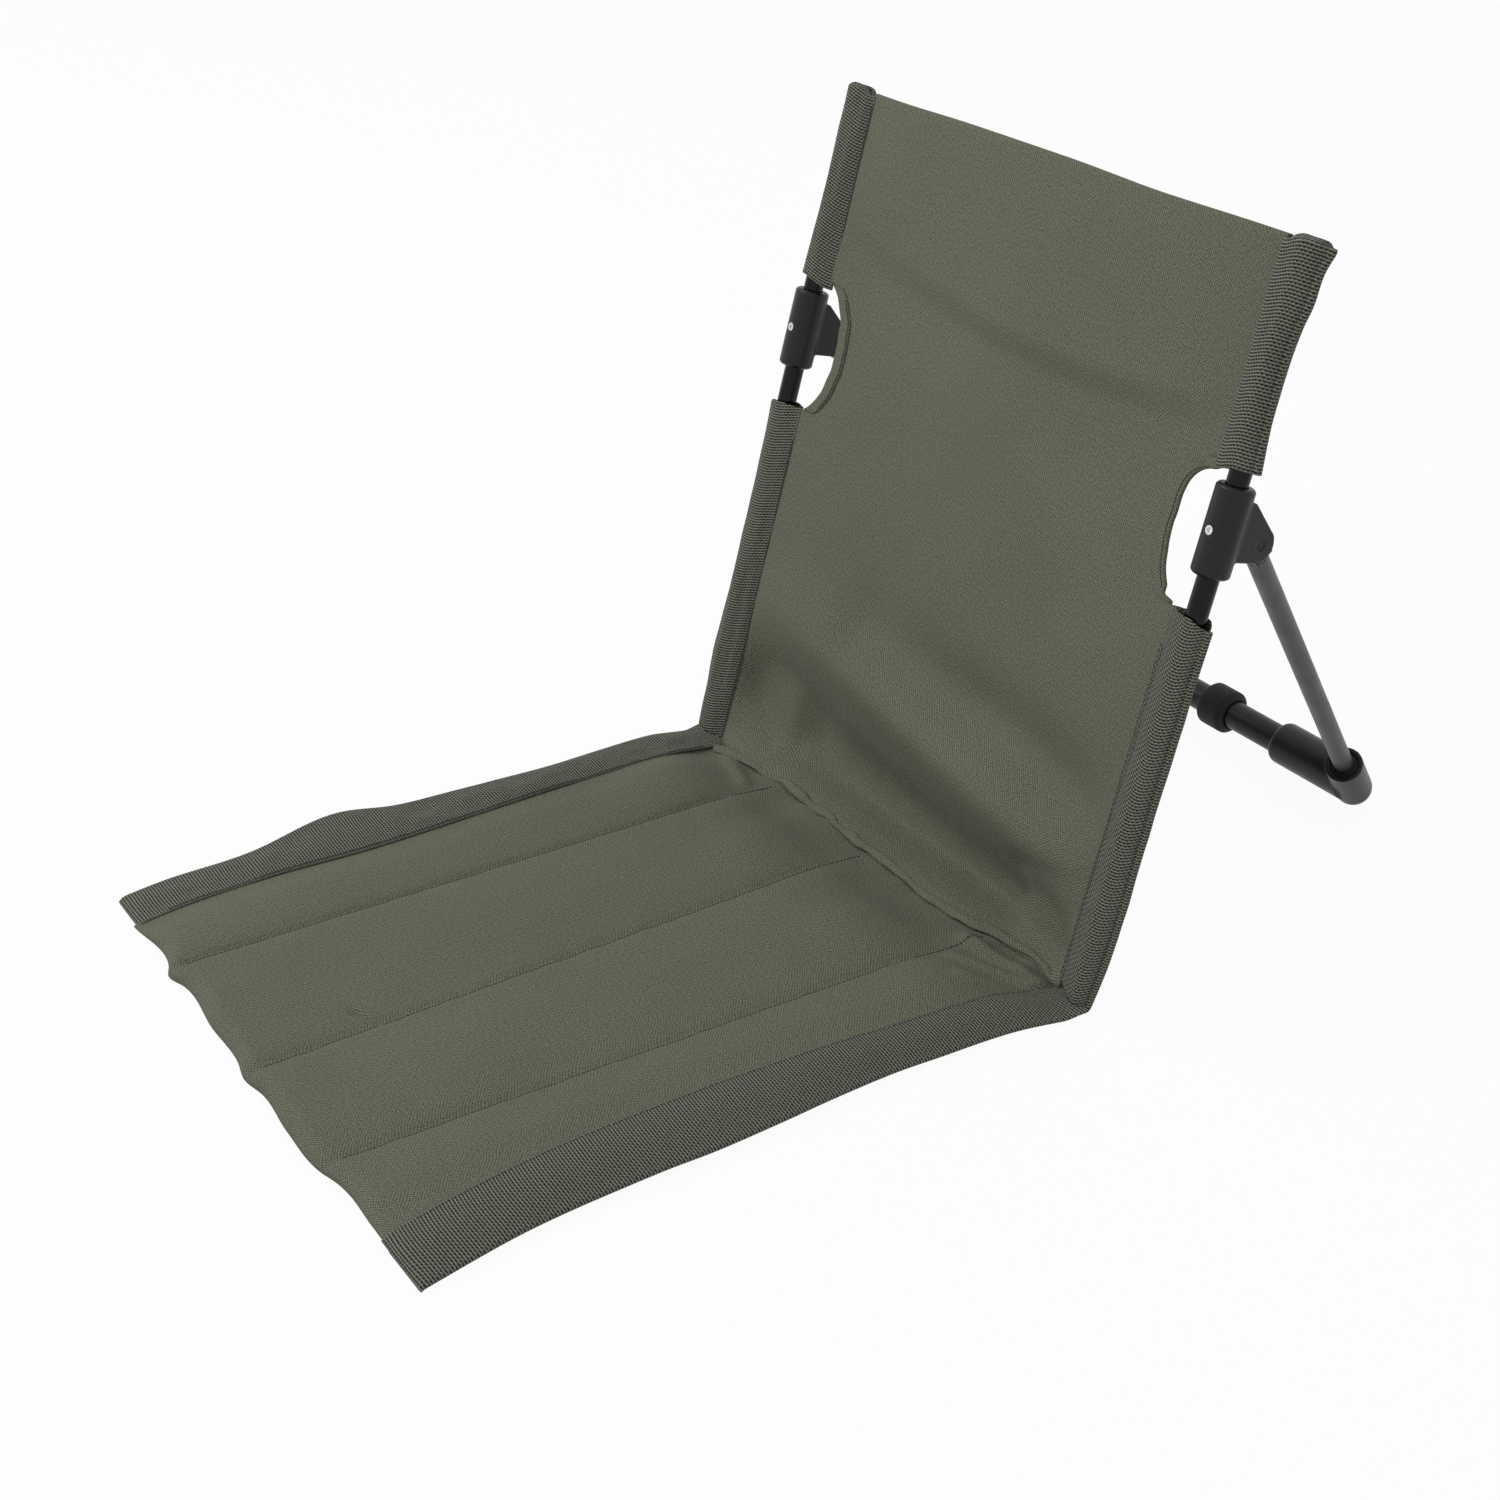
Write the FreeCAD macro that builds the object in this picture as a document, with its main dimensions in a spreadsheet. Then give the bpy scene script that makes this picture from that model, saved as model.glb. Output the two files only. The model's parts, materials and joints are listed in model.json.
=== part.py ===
import FreeCAD, Part
import math
import os
import Sketcher

# Folding beach chair: two poles carry the back cloth, a folding prop behind holds them up,
# and a quilted seat lies on the floor in front. Millimetres, +Z up, +X to the sitter's left,
# the sitter faces -Y, origin on the floor under the middle of the whole chair.

Vector = FreeCAD.Vector
Rotation = FreeCAD.Rotation
Placement = FreeCAD.Placement
X_AXIS = Vector(1, 0, 0)
Y_AXIS = Vector(0, 1, 0)
Z_AXIS = Vector(0, 0, 1)
SIDES = (("left", 1), ("right", -1))
FAR_RIM = 3  # number of a cylinder's far round edge

# Driving dimensions, in millimetres and degrees
DRIVING = (
    ("pole_spacing", "400"),
    ("recline", "15.5"),
    ("pole_length", "446"),
    ("pole_diameter", "13"),
    ("pole_wall", "1.2"),
    ("fit_clearance", "0.05"),
    ("cap_head", "3"),
    ("cap_chamfer", "1"),
    ("cap_plug", "14"),
    ("webbing", "1.2"),
    ("sleeve_ease", "0.4"),
    ("sleeve_inner_reach", "18"),
    ("sleeve_outer_reach", "14"),
    ("mouth_below", "24.5"),
    ("mouth_above", "9.5"),
    ("back_cloth", "1.5"),
    ("back_sag", "7"),
    ("fold_depth", "12"),
    ("fold_along", "42"),
    ("fold_tilt", "8"),
    ("fold_reach", "50"),
    ("top_bulge", "4"),
    ("cutout_depth", "22"),
    ("facing_width", "8"),
    ("facing_cloth", "1"),
    ("flap_rise", "3"),
    ("flap_inset", "2"),
    ("layer_gap", "0.1"),
    ("crease_radius", "10"),
    ("crease_height", "4"),
    ("hinge_setback", "26"),
    ("hinge_gap", "0.5"),
    ("hub_position", "289.5"),
    ("hub_length", "52"),
    ("hub_diameter", "22.5"),
    ("hub_chamfer", "1.5"),
    ("web_top", "18.5"),
    ("web_angle", "60"),
    ("pivot_offset", "24"),
    ("pivot_drop", "5.4"),
    ("boss_radius", "10.5"),
    ("cheek", "3.2"),
    ("slot_root", "13"),
    ("tongue_width", "10"),
    ("tongue_clearance", "0.2"),
    ("tongue_lap", "1.6"),
    ("eye_radius", "9"),
    ("pin_diameter", "6"),
    ("pin_recess", "0.5"),
    ("screw_diameter", "3"),
    ("screw_length", "6.5"),
    ("screw_head_diameter", "5.3"),
    ("screw_head_height", "1.6"),
    ("recess_width", "0.9"),
    ("recess_length", "3"),
    ("recess_depth", "1"),
    ("leg_length", "333"),
    ("leg_lean", "13.4"),
    ("leg_diameter", "13"),
    ("leg_wall", "1.2"),
    ("shoulder_start", "13"),
    ("shoulder_length", "4"),
    ("leg_spigot", "22"),
    ("leg_tail", "6"),
    ("bar_height", "21"),
    ("bar_diameter", "20"),
    ("bar_wall", "1.5"),
    ("bar_insert", "28"),
    ("bar_joint_gap", "1"),
    ("bar_spigot", "70"),
    ("socket_diameter", "29.5"),
    ("socket_length", "65"),
    ("socket_round", "5"),
    ("cup_radius", "12.5"),
    ("cup_rim", "26"),
    ("bush_wall", "2.5"),
    ("bush_length", "20"),
    ("bush_recess", "1"),
    ("collar_diameter", "31"),
    ("collar_length", "26"),
    ("collar_chamfer", "4"),
    ("seat_length", "434"),
    ("seat_seam_step", "5"),
    ("quilt_pitch", "110"),
    ("crown_height", "12"),
    ("stitch_height", "4.2"),
    ("end_crown", "4.8"),
    ("end_stitch", "3.6"),
    ("end_taper", "20"),
    ("quilt_cloth", "1"),
    ("base_cloth", "0.8"),
    ("stitch_margin", "2"),
    ("foam_slack", "0.15"),
    ("band_width", "30"),
    ("band_thickness", "3"),
    ("band_curl", "17"),
    ("band_gap", "0.3"),
    ("curl_front", "64"),
    ("curl_rear", "76"),
)


class Size:
    """A size worked out from the sheet: its number, and the expression that gives it."""

    def __init__(self, value, text):
        self.value = value
        self.text = text

    def combine(self, other, sign, value):
        """Join two sizes, or a size and a number, with one sign."""
        return Size(value, f"({self.text} {sign} {as_size(other).text})")

    def __add__(self, other):
        return self.combine(other, "+", self.value + as_size(other).value)

    def __sub__(self, other):
        return self.combine(other, "-", self.value - as_size(other).value)

    def __mul__(self, other):
        return self.combine(other, "*", self.value * as_size(other).value)

    def __truediv__(self, other):
        return self.combine(other, "/", self.value / as_size(other).value)

    def __neg__(self):
        return as_size(0) - self


def as_size(number):
    """Take a plain number as a size."""
    if isinstance(number, Size):
        return number
    return Size(float(number), str(number))


def sine(angle):
    """Sine of an angle in degrees."""
    return Size(math.sin(math.radians(angle.value)), f"sin({angle.text} * 1deg)")


def cosine(angle):
    """Cosine of an angle in degrees."""
    return Size(math.cos(math.radians(angle.value)), f"cos({angle.text} * 1deg)")


doc = FreeCAD.newDocument("folding_beach_chair")
sheet = doc.addObject("Spreadsheet::Sheet", "sizes")
for row, (alias, number) in enumerate(DRIVING, start=1):
    sheet.set(f"A{row}", alias)
    sheet.set(f"B{row}", number)
    sheet.setAlias(f"B{row}", alias)
doc.recompute()
nodes = []


def size(alias):
    """One driving dimension, read from the sheet."""
    return Size(float(sheet.get(alias)), f"sizes.{alias}")


# Sizes that several pieces share
half_spacing = size("pole_spacing") / 2
pole_radius = size("pole_diameter") / 2
pole_bore = pole_radius - size("pole_wall")
sleeve_radius = pole_radius + size("sleeve_ease") + size("webbing")
sleeve_end = size("cap_head") + size("sleeve_ease") + size("webbing")
sleeve_tail = half_spacing - size("sleeve_inner_reach")
seat_seam = sleeve_tail - size("seat_seam_step")
lower_sleeve_top = size("hub_position") - size("hub_length") / 2 - size("mouth_below")
upper_sleeve_bottom = size("hub_position") + size("hub_length") / 2 + size("mouth_above")
flap_bottom = upper_sleeve_bottom + size("flap_rise")
hub_radius = size("hub_diameter") / 2
hub_bore = pole_radius + size("fit_clearance")
pin_radius = size("pin_diameter") / 2
slot_width = size("tongue_width") + size("tongue_clearance") * 2
clevis_width = slot_width + size("cheek") * 2
leg_radius = size("leg_diameter") / 2
leg_bore = leg_radius - size("leg_wall")
leg_start = size("shoulder_start") + size("shoulder_length")
bar_radius = size("bar_diameter") / 2
bar_bore = bar_radius - size("bar_wall")
foot_offset = half_spacing - size("leg_length") * sine(size("leg_lean"))
socket_start = foot_offset - size("socket_length")
cup_bore = leg_radius + size("fit_clearance") + size("bush_wall")
seat_rear = size("hinge_setback") + size("back_cloth") / 2 + size("hinge_gap")
cloth_half = sleeve_tail - size("layer_gap")
cloth_top = size("pole_length") + size("cap_head")

# Where the tilted back stands: its lowest sleeve edge rests on the floor
recline = math.radians(size("recline").value)
rise, lean_back = math.cos(recline), math.sin(recline)
pole_foot_z = sleeve_end.value * rise + sleeve_radius.value * lean_back
pivot_along = (size("hub_position") - size("pivot_drop")).value
pivot_behind = size("pivot_offset").value


def back_yz(behind, along):
    """Floor-frame y and z of a point behind the pole axis plane and along the poles."""
    return (behind * rise + along * lean_back, pole_foot_z - behind * lean_back + along * rise)


# Where the prop's feet land: the leg length and the bar height set how far behind
pivot_y, pivot_z = back_yz(pivot_behind, pivot_along)
lean = math.radians(size("leg_lean").value)
leg_in_plane = size("leg_length").value * math.cos(lean)
leg_drop = pivot_z - size("bar_height").value
leg_run = math.sqrt(leg_in_plane ** 2 - leg_drop ** 2)
swing = math.atan2(leg_run, leg_drop)
bar_y = pivot_y + leg_run
heel_depth = (size("bar_height") - size("cup_radius")) / (math.cos(lean) * math.cos(swing))
heel_y = bar_y + heel_depth.value * math.cos(lean) * math.sin(swing)
rear_y = heel_y + size("cup_radius").value

# The chair's middle, front to back, is the origin
crease_y = (size("seat_length").value - rear_y) / 2

BACK_TURN = Rotation(X_AXIS, -size("recline").value)
PROP_TURN = Rotation(X_AXIS, math.degrees(swing))


def back_place(x, behind, along):
    """Placement of a piece in the tilted frame of the back."""
    y, z = back_yz(behind, along)
    return Placement(Vector(x, crease_y + y, z), BACK_TURN)


def leg_direction(side):
    """Unit vector down a prop leg, which leans in and back."""
    down = math.cos(lean)
    return Vector(-side * math.sin(lean), down * math.sin(swing), -down * math.cos(swing))


def pivot_point(side):
    """Middle of a prop leg's pivot."""
    return Vector(side * half_spacing.value, crease_y + pivot_y, pivot_z)


def bar_point(side):
    """Where a leg's axis meets the crossbar's axis."""
    return Vector(side * foot_offset.value, crease_y + bar_y, size("bar_height").value)


def bind(item, **properties):
    """Set sizes of a document object from the sheet."""
    for name, value in properties.items():
        item.setExpression(name, as_size(value).text)


def keep(item, label, placement=None):
    """Name a finished sub-part and put it in its place."""
    item.Label = label
    if placement is not None:
        item.Placement = placement
    nodes.append(item)
    return item


# Sketches and solids


def sketch_on(body, role, name, lift=None):
    """A sketch on one of the body's own origin planes, lifted along its normal if asked."""
    sketch = body.newObject("Sketcher::SketchObject", name)
    plane = [feature for feature in body.Origin.OriginFeatures if feature.Role == role][0]
    sketch.AttachmentSupport = [(plane, "")]
    sketch.MapMode = "FlatFace"
    if lift is not None:
        sketch.setExpression("AttachmentOffset.Base.z", lift.text)
    return sketch


def pin_vertex(sketch, geometry, vertex, point):
    """Tie one vertex of a sketch to its coordinates."""
    for kind, coordinate in zip(("DistanceX", "DistanceY"), point):
        amount = as_size(coordinate)
        rule = Sketcher.Constraint(kind, -1, 1, geometry, vertex, amount.value)
        index = sketch.addConstraint(rule)
        sketch.setExpression(f"Constraints[{index}]", amount.text)


def draw_circle(sketch, radius, centre=(0, 0)):
    """A circle with its radius and centre tied to the sheet."""
    middle = Vector(as_size(centre[0]).value, as_size(centre[1]).value, 0)
    geometry = sketch.addGeometry(Part.Circle(middle, Z_AXIS, radius.value))
    index = sketch.addConstraint(Sketcher.Constraint("Radius", geometry, radius.value))
    sketch.setExpression(f"Constraints[{index}]", radius.text)
    pin_vertex(sketch, geometry, 3, centre)


def draw_outline(sketch, points):
    """A closed outline of straight lines through points tied to the sheet."""
    corners = [Vector(as_size(x).value, as_size(y).value, 0) for x, y in points]
    count = len(corners)
    for index, corner in enumerate(corners):
        sketch.addGeometry(Part.LineSegment(corner, corners[(index + 1) % count]))
    for index in range(count):
        sketch.addConstraint(Sketcher.Constraint("Coincident", index, 2, (index + 1) % count, 1))
    for index, point in enumerate(points):
        pin_vertex(sketch, index, 1, point)


def pad(body, sketch, length, symmetric=False):
    """Pad a sketch by a length from the sheet."""
    feature = body.newObject("PartDesign::Pad", "pad")
    feature.Profile = sketch
    feature.SideType = "Symmetric" if symmetric else "One side"
    bind(feature, Length=length)
    return feature


def pocket(body, sketch, length, symmetric=False, reverse=False):
    """Cut a sketch into the body, and make sure that it takes something away."""
    doc.recompute()
    before = body.Shape.Volume
    feature = body.newObject("PartDesign::Pocket", "pocket")
    feature.Profile = sketch
    feature.SideType = "Symmetric" if symmetric else "One side"
    feature.Reversed = reverse
    bind(feature, Length=length)
    doc.recompute()
    if not body.Shape.Volume < before:
        raise RuntimeError(f"a pocket of {body.Label} cuts nothing")
    return feature


def revolve(body, sketch):
    """Turn a sketch about its vertical axis."""
    feature = body.newObject("PartDesign::Revolution", "revolution")
    feature.Profile = sketch
    feature.ReferenceAxis = (sketch, ["V_Axis"])
    return feature


def tube(label, outer, bore, length, placement):
    """A tube along its own Z axis."""
    body = doc.addObject("PartDesign::Body", label)
    sketch = sketch_on(body, "XY_Plane", "section")
    draw_circle(sketch, outer)
    draw_circle(sketch, bore)
    pad(body, sketch, length)
    return keep(body, label, placement)


def turned(label, outline, placement):
    """A turned piece: an outline of radius and height revolved about Z."""
    body = doc.addObject("PartDesign::Body", label)
    sketch = sketch_on(body, "XZ_Plane", "profile")
    draw_outline(sketch, outline)
    revolve(body, sketch)
    return keep(body, label, placement)


def cylinder(radius, height, base, axis):
    """A cylinder from a base point along an axis."""
    item = doc.addObject("Part::Cylinder", "cylinder")
    bind(item, Radius=radius, Height=height)
    item.Placement = Placement(base, Rotation(Z_AXIS, axis))
    return item


def box(length, width, height, corner):
    """A box from its low corner."""
    item = doc.addObject("Part::Box", "box")
    bind(item, Length=length, Width=width, Height=height)
    item.Placement = Placement(corner, Rotation())
    return item


def fuse(*items):
    """One solid from overlapping solids."""
    item = doc.addObject("Part::MultiFuse", "fuse")
    item.Shapes = list(items)
    return item


def cut(base, *tools):
    """A solid with one or more solids taken away."""
    item = doc.addObject("Part::Cut", "cut")
    item.Base = base
    item.Tool = tools[0] if len(tools) == 1 else fuse(*tools)
    return item


def group(label, items):
    """Identical loose fasteners kept together under one name."""
    item = doc.addObject("Part::Compound", "group")
    item.Links = list(items)
    return keep(item, label)


def solid_feature(label, shape):
    """A sub-part whose shape comes from Part's own functions."""
    item = doc.addObject("Part::Feature", label)
    item.Shape = shape
    return keep(item, label, Placement(Vector(0, crease_y, 0), Rotation()))


# Back frame


def back_pole(side_name, side):
    """A straight tube with a pilot hole for the hub's screw."""
    place = back_place(side * half_spacing.value, 0, 0)
    body = tube(f"{side_name}_back_pole", pole_radius, pole_bore, size("pole_length"), place)
    sketch = sketch_on(body, "XZ_Plane", "pilot")
    draw_circle(sketch, size("screw_diameter") / 2 + size("fit_clearance"), (0, size("hub_position")))
    pocket(body, sketch, size("pole_diameter"), reverse=True)


def pole_caps(side_name, side):
    """Plugs with round heads in both ends of a pole."""
    plug = pole_bore - size("fit_clearance")
    head = -size("cap_head")
    outline = (
        (0, head),
        (pole_radius - size("cap_chamfer"), head),
        (pole_radius, head + size("cap_chamfer")),
        (pole_radius, 0),
        (plug, 0),
        (plug, size("cap_plug")),
        (0, size("cap_plug")),
    )
    x = side * half_spacing.value
    turned(f"{side_name}_pole_foot_cap", outline, back_place(x, 0, 0))
    top = back_place(x, 0, size("pole_length").value)
    top.Rotation = top.Rotation.multiply(Rotation(X_AXIS, 180))
    turned(f"{side_name}_pole_top_cap", outline, top)


def hub(side_name, side):
    """A moulded sleeve on the pole with a rear clevis for the prop leg."""
    label = f"{side_name}_hub"
    end = size("hub_length") / 2
    chamfer = size("hub_chamfer")
    place = back_place(side * half_spacing.value, 0, size("hub_position").value)
    outline = (
        (0, -end),
        (hub_radius - chamfer, -end),
        (hub_radius, chamfer - end),
        (hub_radius, end - chamfer),
        (hub_radius - chamfer, end),
        (0, end),
    )
    body = turned(label, outline, place)

    pivot = (size("pivot_offset"), -size("pivot_drop"))
    boss = size("boss_radius")
    web = sketch_on(body, "YZ_Plane", "web")
    draw_outline(web, (
        (0, size("web_top")),
        (hub_radius, size("web_top")),
        (pivot[0] + boss * cosine(size("web_angle")), pivot[1] + boss * sine(size("web_angle"))),
        (pivot[0], pivot[1] - boss),
        (0, pivot[1] - boss),
    ))
    pad(body, web, clevis_width, symmetric=True)
    knuckle = sketch_on(body, "YZ_Plane", "knuckle")
    draw_circle(knuckle, boss, pivot)
    pad(body, knuckle, clevis_width, symmetric=True)

    slot = sketch_on(body, "YZ_Plane", "slot")
    reach = size("pivot_offset") + boss * 2
    draw_outline(slot, (
        (size("slot_root"), -end),
        (reach, -end),
        (reach, end),
        (size("slot_root"), end),
    ))
    pocket(body, slot, slot_width, symmetric=True)

    pin_hole = sketch_on(body, "YZ_Plane", "pin_hole")
    draw_circle(pin_hole, pin_radius, pivot)
    pocket(body, pin_hole, clevis_width * 2, symmetric=True)

    bore = sketch_on(body, "XY_Plane", "bore")
    draw_circle(bore, hub_bore)
    pocket(body, bore, size("hub_length") * 2, symmetric=True)

    screw_hole = sketch_on(body, "XZ_Plane", "screw_hole")
    draw_circle(screw_hole, size("screw_diameter") / 2 + size("fit_clearance"))
    pocket(body, screw_hole, size("hub_diameter"), reverse=True)
    seat = sketch_on(body, "XZ_Plane", "screw_seat", hub_radius - size("screw_head_height"))
    draw_circle(seat, size("screw_head_diameter") / 2 + size("fit_clearance"))
    pocket(body, seat, size("hub_diameter"), reverse=True)


def hub_screw(side):
    """A cross-recess screw that faces the front, flush with the hub."""
    front = -Y_AXIS
    face = hub_radius.value
    head_start = face - size("screw_head_height").value
    head = cylinder(size("screw_head_diameter") / 2, size("screw_head_height"), front * head_start, front)
    shank = cylinder(size("screw_diameter") / 2, size("screw_length"), front * head_start, Y_AXIS)
    slot_y = -face
    half_long = size("recess_length").value / 2
    half_wide = size("recess_width").value / 2
    across = box(size("recess_length"), size("recess_depth"), size("recess_width"),
                 Vector(-half_long, slot_y, -half_wide))
    upright = box(size("recess_width"), size("recess_depth"), size("recess_length"),
                  Vector(-half_wide, slot_y, -half_long))
    screw = cut(fuse(head, shank), across, upright)
    screw.Placement = back_place(side * half_spacing.value, 0, size("hub_position").value)
    return screw


def pivot_pin(side):
    """A plain pin across the clevis, its ends just below the cheeks."""
    length = clevis_width - size("pin_recess") * 2
    start = pivot_point(side) - X_AXIS * (length.value / 2)
    return cylinder(pin_radius, length, start, X_AXIS)


# Back cloth


def pole_sleeve(label, side, start, stop, closed_at_top):
    """A flat webbing tube round the pole, sewn along both edges and closed at one end."""
    body = doc.addObject("PartDesign::Body", label)
    length = stop - start
    edge = size("webbing")
    inner = size("sleeve_inner_reach") * -side
    outer = size("sleeve_outer_reach") * side
    flat = sketch_on(body, "XY_Plane", "flat")
    draw_outline(flat, (
        (inner, -edge),
        (0, -sleeve_radius),
        (outer, -edge),
        (outer, edge),
        (0, sleeve_radius),
        (inner, edge),
    ))
    pad(body, flat, length)
    round_part = sketch_on(body, "XY_Plane", "round")
    draw_circle(round_part, sleeve_radius)
    pad(body, round_part, length)
    mouth = as_size(0) if closed_at_top else size("webbing")
    bore = sketch_on(body, "XY_Plane", "bore", mouth)
    draw_circle(bore, pole_radius + size("sleeve_ease"))
    pocket(body, bore, length - size("webbing"), reverse=True)
    keep(body, label, back_place(side * half_spacing.value, 0, start.value))


def pole_sleeves(side_name, side):
    """The lower sleeve stands on the floor, the upper one makes the top corner."""
    foot = -sleeve_end
    top = size("pole_length") + sleeve_end
    pole_sleeve(f"{side_name}_lower_sleeve", side, foot, lower_sleeve_top, False)
    pole_sleeve(f"{side_name}_upper_sleeve", side, upper_sleeve_bottom, top, True)


def cutout(side):
    """Radius and centre of the round bite that frees a hub."""
    half = (upper_sleeve_bottom - lower_sleeve_top) / 2
    depth = size("cutout_depth")
    radius = (half * half + depth * depth) / (depth * 2)
    centre_x = side * (sleeve_tail - depth + radius).value
    centre_along = (lower_sleeve_top + half).value
    return radius, centre_x, centre_along


# Where the back cloth leaves the bend at the crease
bend_turn = math.radians(90 - size("recline").value)
bend_tangent = size("crease_radius").value * math.tan(bend_turn / 2)
bend_corner = (size("crease_height").value - pole_foot_z) / rise
cloth_start = bend_corner + bend_tangent

# Where the back's upright profiles stand, as shares of half its width
PROFILES = (-1, -0.5, 0, 0.5, 1)
REARWARD = BACK_TURN.multVec(Y_AXIS)
LOW_END, TOP_END = 0, 1


def upright_line(share, behind):
    """One line up the back, behind the cloth's middle: it sags, dips in a fold and fills out at the top."""
    x = cloth_half.value * share
    sag = size("back_sag").value * (1 - share ** 2)
    free = 1 - share ** 4
    fold = size("fold_along").value - x * math.tan(math.radians(size("fold_tilt").value))
    clear = fold + size("fold_reach").value
    line = flap_bottom.value
    stations = (
        (cloth_start, 0),
        (fold, sag + size("fold_depth").value * free),
        (clear, sag),
        ((clear + line) / 2, sag),
        (line, sag),
        (cloth_top.value, sag - size("top_bulge").value * free),
    )
    curve = Part.BSplineCurve()
    curve.interpolate([Vector(x, *back_yz(depth + behind, along)) for along, depth in stations])
    return curve.toShape()


def end_line(first, second, end):
    """A straight edge between two upright lines at their low end or their top end."""
    return Part.makeLine(first.Vertexes[end].Point, second.Vertexes[end].Point)


def back_layer(behind, thickness):
    """A sheet that follows the back, some way behind the cloth's middle."""
    wires = []
    for share in PROFILES:
        front = upright_line(share, behind)
        rear = upright_line(share, behind + thickness)
        edges = [front, end_line(front, rear, TOP_END),
                 rear, end_line(front, rear, LOW_END)]
        wires.append(Part.Wire(Part.__sortEdges__(edges)))
    return Part.makeLoft(wires, True)


def panel_profile(share):
    """The back cloth cut through: down the back, round the crease and forward to the hinge line."""
    half = size("back_cloth").value / 2
    bend = size("crease_radius").value
    level = size("crease_height").value
    hinge = -size("hinge_setback").value
    x = cloth_half.value * share
    corner = Vector(x, *back_yz(0, bend_corner))
    centre = Vector(x, *back_yz(-bend, cloth_start))
    flat_y = corner.y - bend_tangent
    outward = (corner - centre).normalize()

    def bend_arc(offset):
        first = Vector(x, *back_yz(offset, cloth_start))
        last = Vector(x, flat_y, level - offset)
        return Part.Arc(first, centre + outward * (bend + offset), last).toShape()

    def floor_run(offset):
        return Part.makeLine(Vector(x, flat_y, level - offset), Vector(x, hinge, level - offset))

    nose = Part.Arc(Vector(x, hinge, level + half), Vector(x, hinge - half, level),
                    Vector(x, hinge, level - half)).toShape()
    front = upright_line(share, -half)
    rear = upright_line(share, half)
    edges = [front, bend_arc(-half), floor_run(-half), nose, floor_run(half), bend_arc(half), rear,
             end_line(front, rear, TOP_END)]
    return Part.Wire(Part.__sortEdges__(edges))


def cutout_cylinder(side, margin):
    """A cylinder through the back round a cut-out, wider than the cut-out by a margin."""
    radius, x, along = cutout(side)
    y, z = back_yz(-radius.value, along)
    return Part.makeCylinder(radius.value + margin, radius.value * 2, Vector(x, y, z), REARWARD)


def back_panel():
    """One sheet between the poles, with a bite cut out of each side at the hub."""
    panel = Part.makeLoft([panel_profile(share) for share in PROFILES], True)
    for _, side in SIDES:
        panel = panel.cut(cutout_cylinder(side, 0))
    solid_feature("back_panel", panel)


def cutout_facing(side_name, side):
    """The hem behind the edge of a cut-out, a ring stopped at the sleeve."""
    ring = cutout_cylinder(side, size("facing_width").value).cut(cutout_cylinder(side, 0))
    behind = size("back_cloth") / 2 + size("layer_gap")
    layer = back_layer(behind.value, size("facing_cloth").value)
    solid_feature(f"{side_name}_cutout_facing", layer.common(ring))


def rear_flap():
    """The second layer behind the doubled top of the back."""
    half = (sleeve_tail - size("flap_inset")).value
    behind = size("back_cloth") / 2 + size("facing_cloth") + size("layer_gap") * 2
    layer = back_layer(behind.value, size("facing_cloth").value)
    height = cloth_top.value - flap_bottom.value
    room = Part.makeBox(half * 2, height, height * 2)
    room.Placement = Placement(Vector(-half, *back_yz(-height / 2, flap_bottom.value)), BACK_TURN)
    solid_feature("rear_flap", layer.common(room))


# Prop


def leg_knuckle(side_name, side):
    """A moulded leg end: an eye on the pin, a tongue in the clevis and a spigot in the leg."""
    down = Vector(-side * math.sin(lean), 0, -math.cos(lean))
    half_tongue = size("tongue_width").value / 2
    eye = cylinder(size("eye_radius"), size("tongue_width"), X_AXIS * -half_tongue, X_AXIS)
    tongue_end = size("shoulder_start") + size("tongue_lap")
    tongue = box(size("tongue_width"), size("leg_diameter"), tongue_end,
                 Vector(-half_tongue, -leg_radius.value, -tongue_end.value))
    start = down * size("shoulder_start").value
    shoulder = cylinder(leg_radius, size("shoulder_length"), start, down)
    spigot_length = size("shoulder_length") + size("leg_spigot")
    spigot = cylinder(leg_bore - size("fit_clearance"), spigot_length, start, down)
    bore_start = X_AXIS * (-clevis_width.value / 2)
    bore = cylinder(pin_radius + size("fit_clearance"), clevis_width, bore_start, X_AXIS)
    place = Placement(pivot_point(side), PROP_TURN)
    keep(cut(fuse(eye, tongue, shoulder, spigot), bore), f"{side_name}_leg_knuckle", place)


def prop_leg(side_name, side):
    """A tube from the knuckle's shoulder down into the foot."""
    down = leg_direction(side)
    place = Placement(pivot_point(side) + down * leg_start.value, Rotation(Z_AXIS, down))
    length = size("leg_length") + size("leg_tail") - leg_start
    tube(f"{side_name}_prop_leg", leg_radius, leg_bore, length, place)


def foot(side_name, side):
    """A moulded elbow: a cup round the leg with a round heel, and a socket for the crossbar."""
    down = leg_direction(side)
    inward = X_AXIS * -side
    rim = down * -size("cup_rim").value
    socket_body = cylinder(size("socket_diameter") / 2, size("socket_length"), Vector(), inward)
    socket = doc.addObject("Part::Fillet", "socket")
    socket.Base = socket_body
    socket.Edges = [(FAR_RIM, size("socket_round").value, size("socket_round").value)]
    cup = cylinder(size("cup_radius"), size("cup_rim") + heel_depth, rim, down)
    heel = doc.addObject("Part::Sphere", "heel")
    bind(heel, Radius=size("cup_radius"))
    heel.Placement.Base = down * heel_depth.value
    leg_hole = cylinder(cup_bore, size("cup_rim") + size("leg_tail"), rim, down)
    mouth = inward * (size("socket_length") - size("bar_insert")).value
    bar_hole = cylinder(bar_radius + size("fit_clearance"), size("bar_insert"), mouth, inward)
    place = Placement(bar_point(side), Rotation())
    keep(cut(fuse(socket, cup, heel), leg_hole, bar_hole), f"{side_name}_foot", place)


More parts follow.
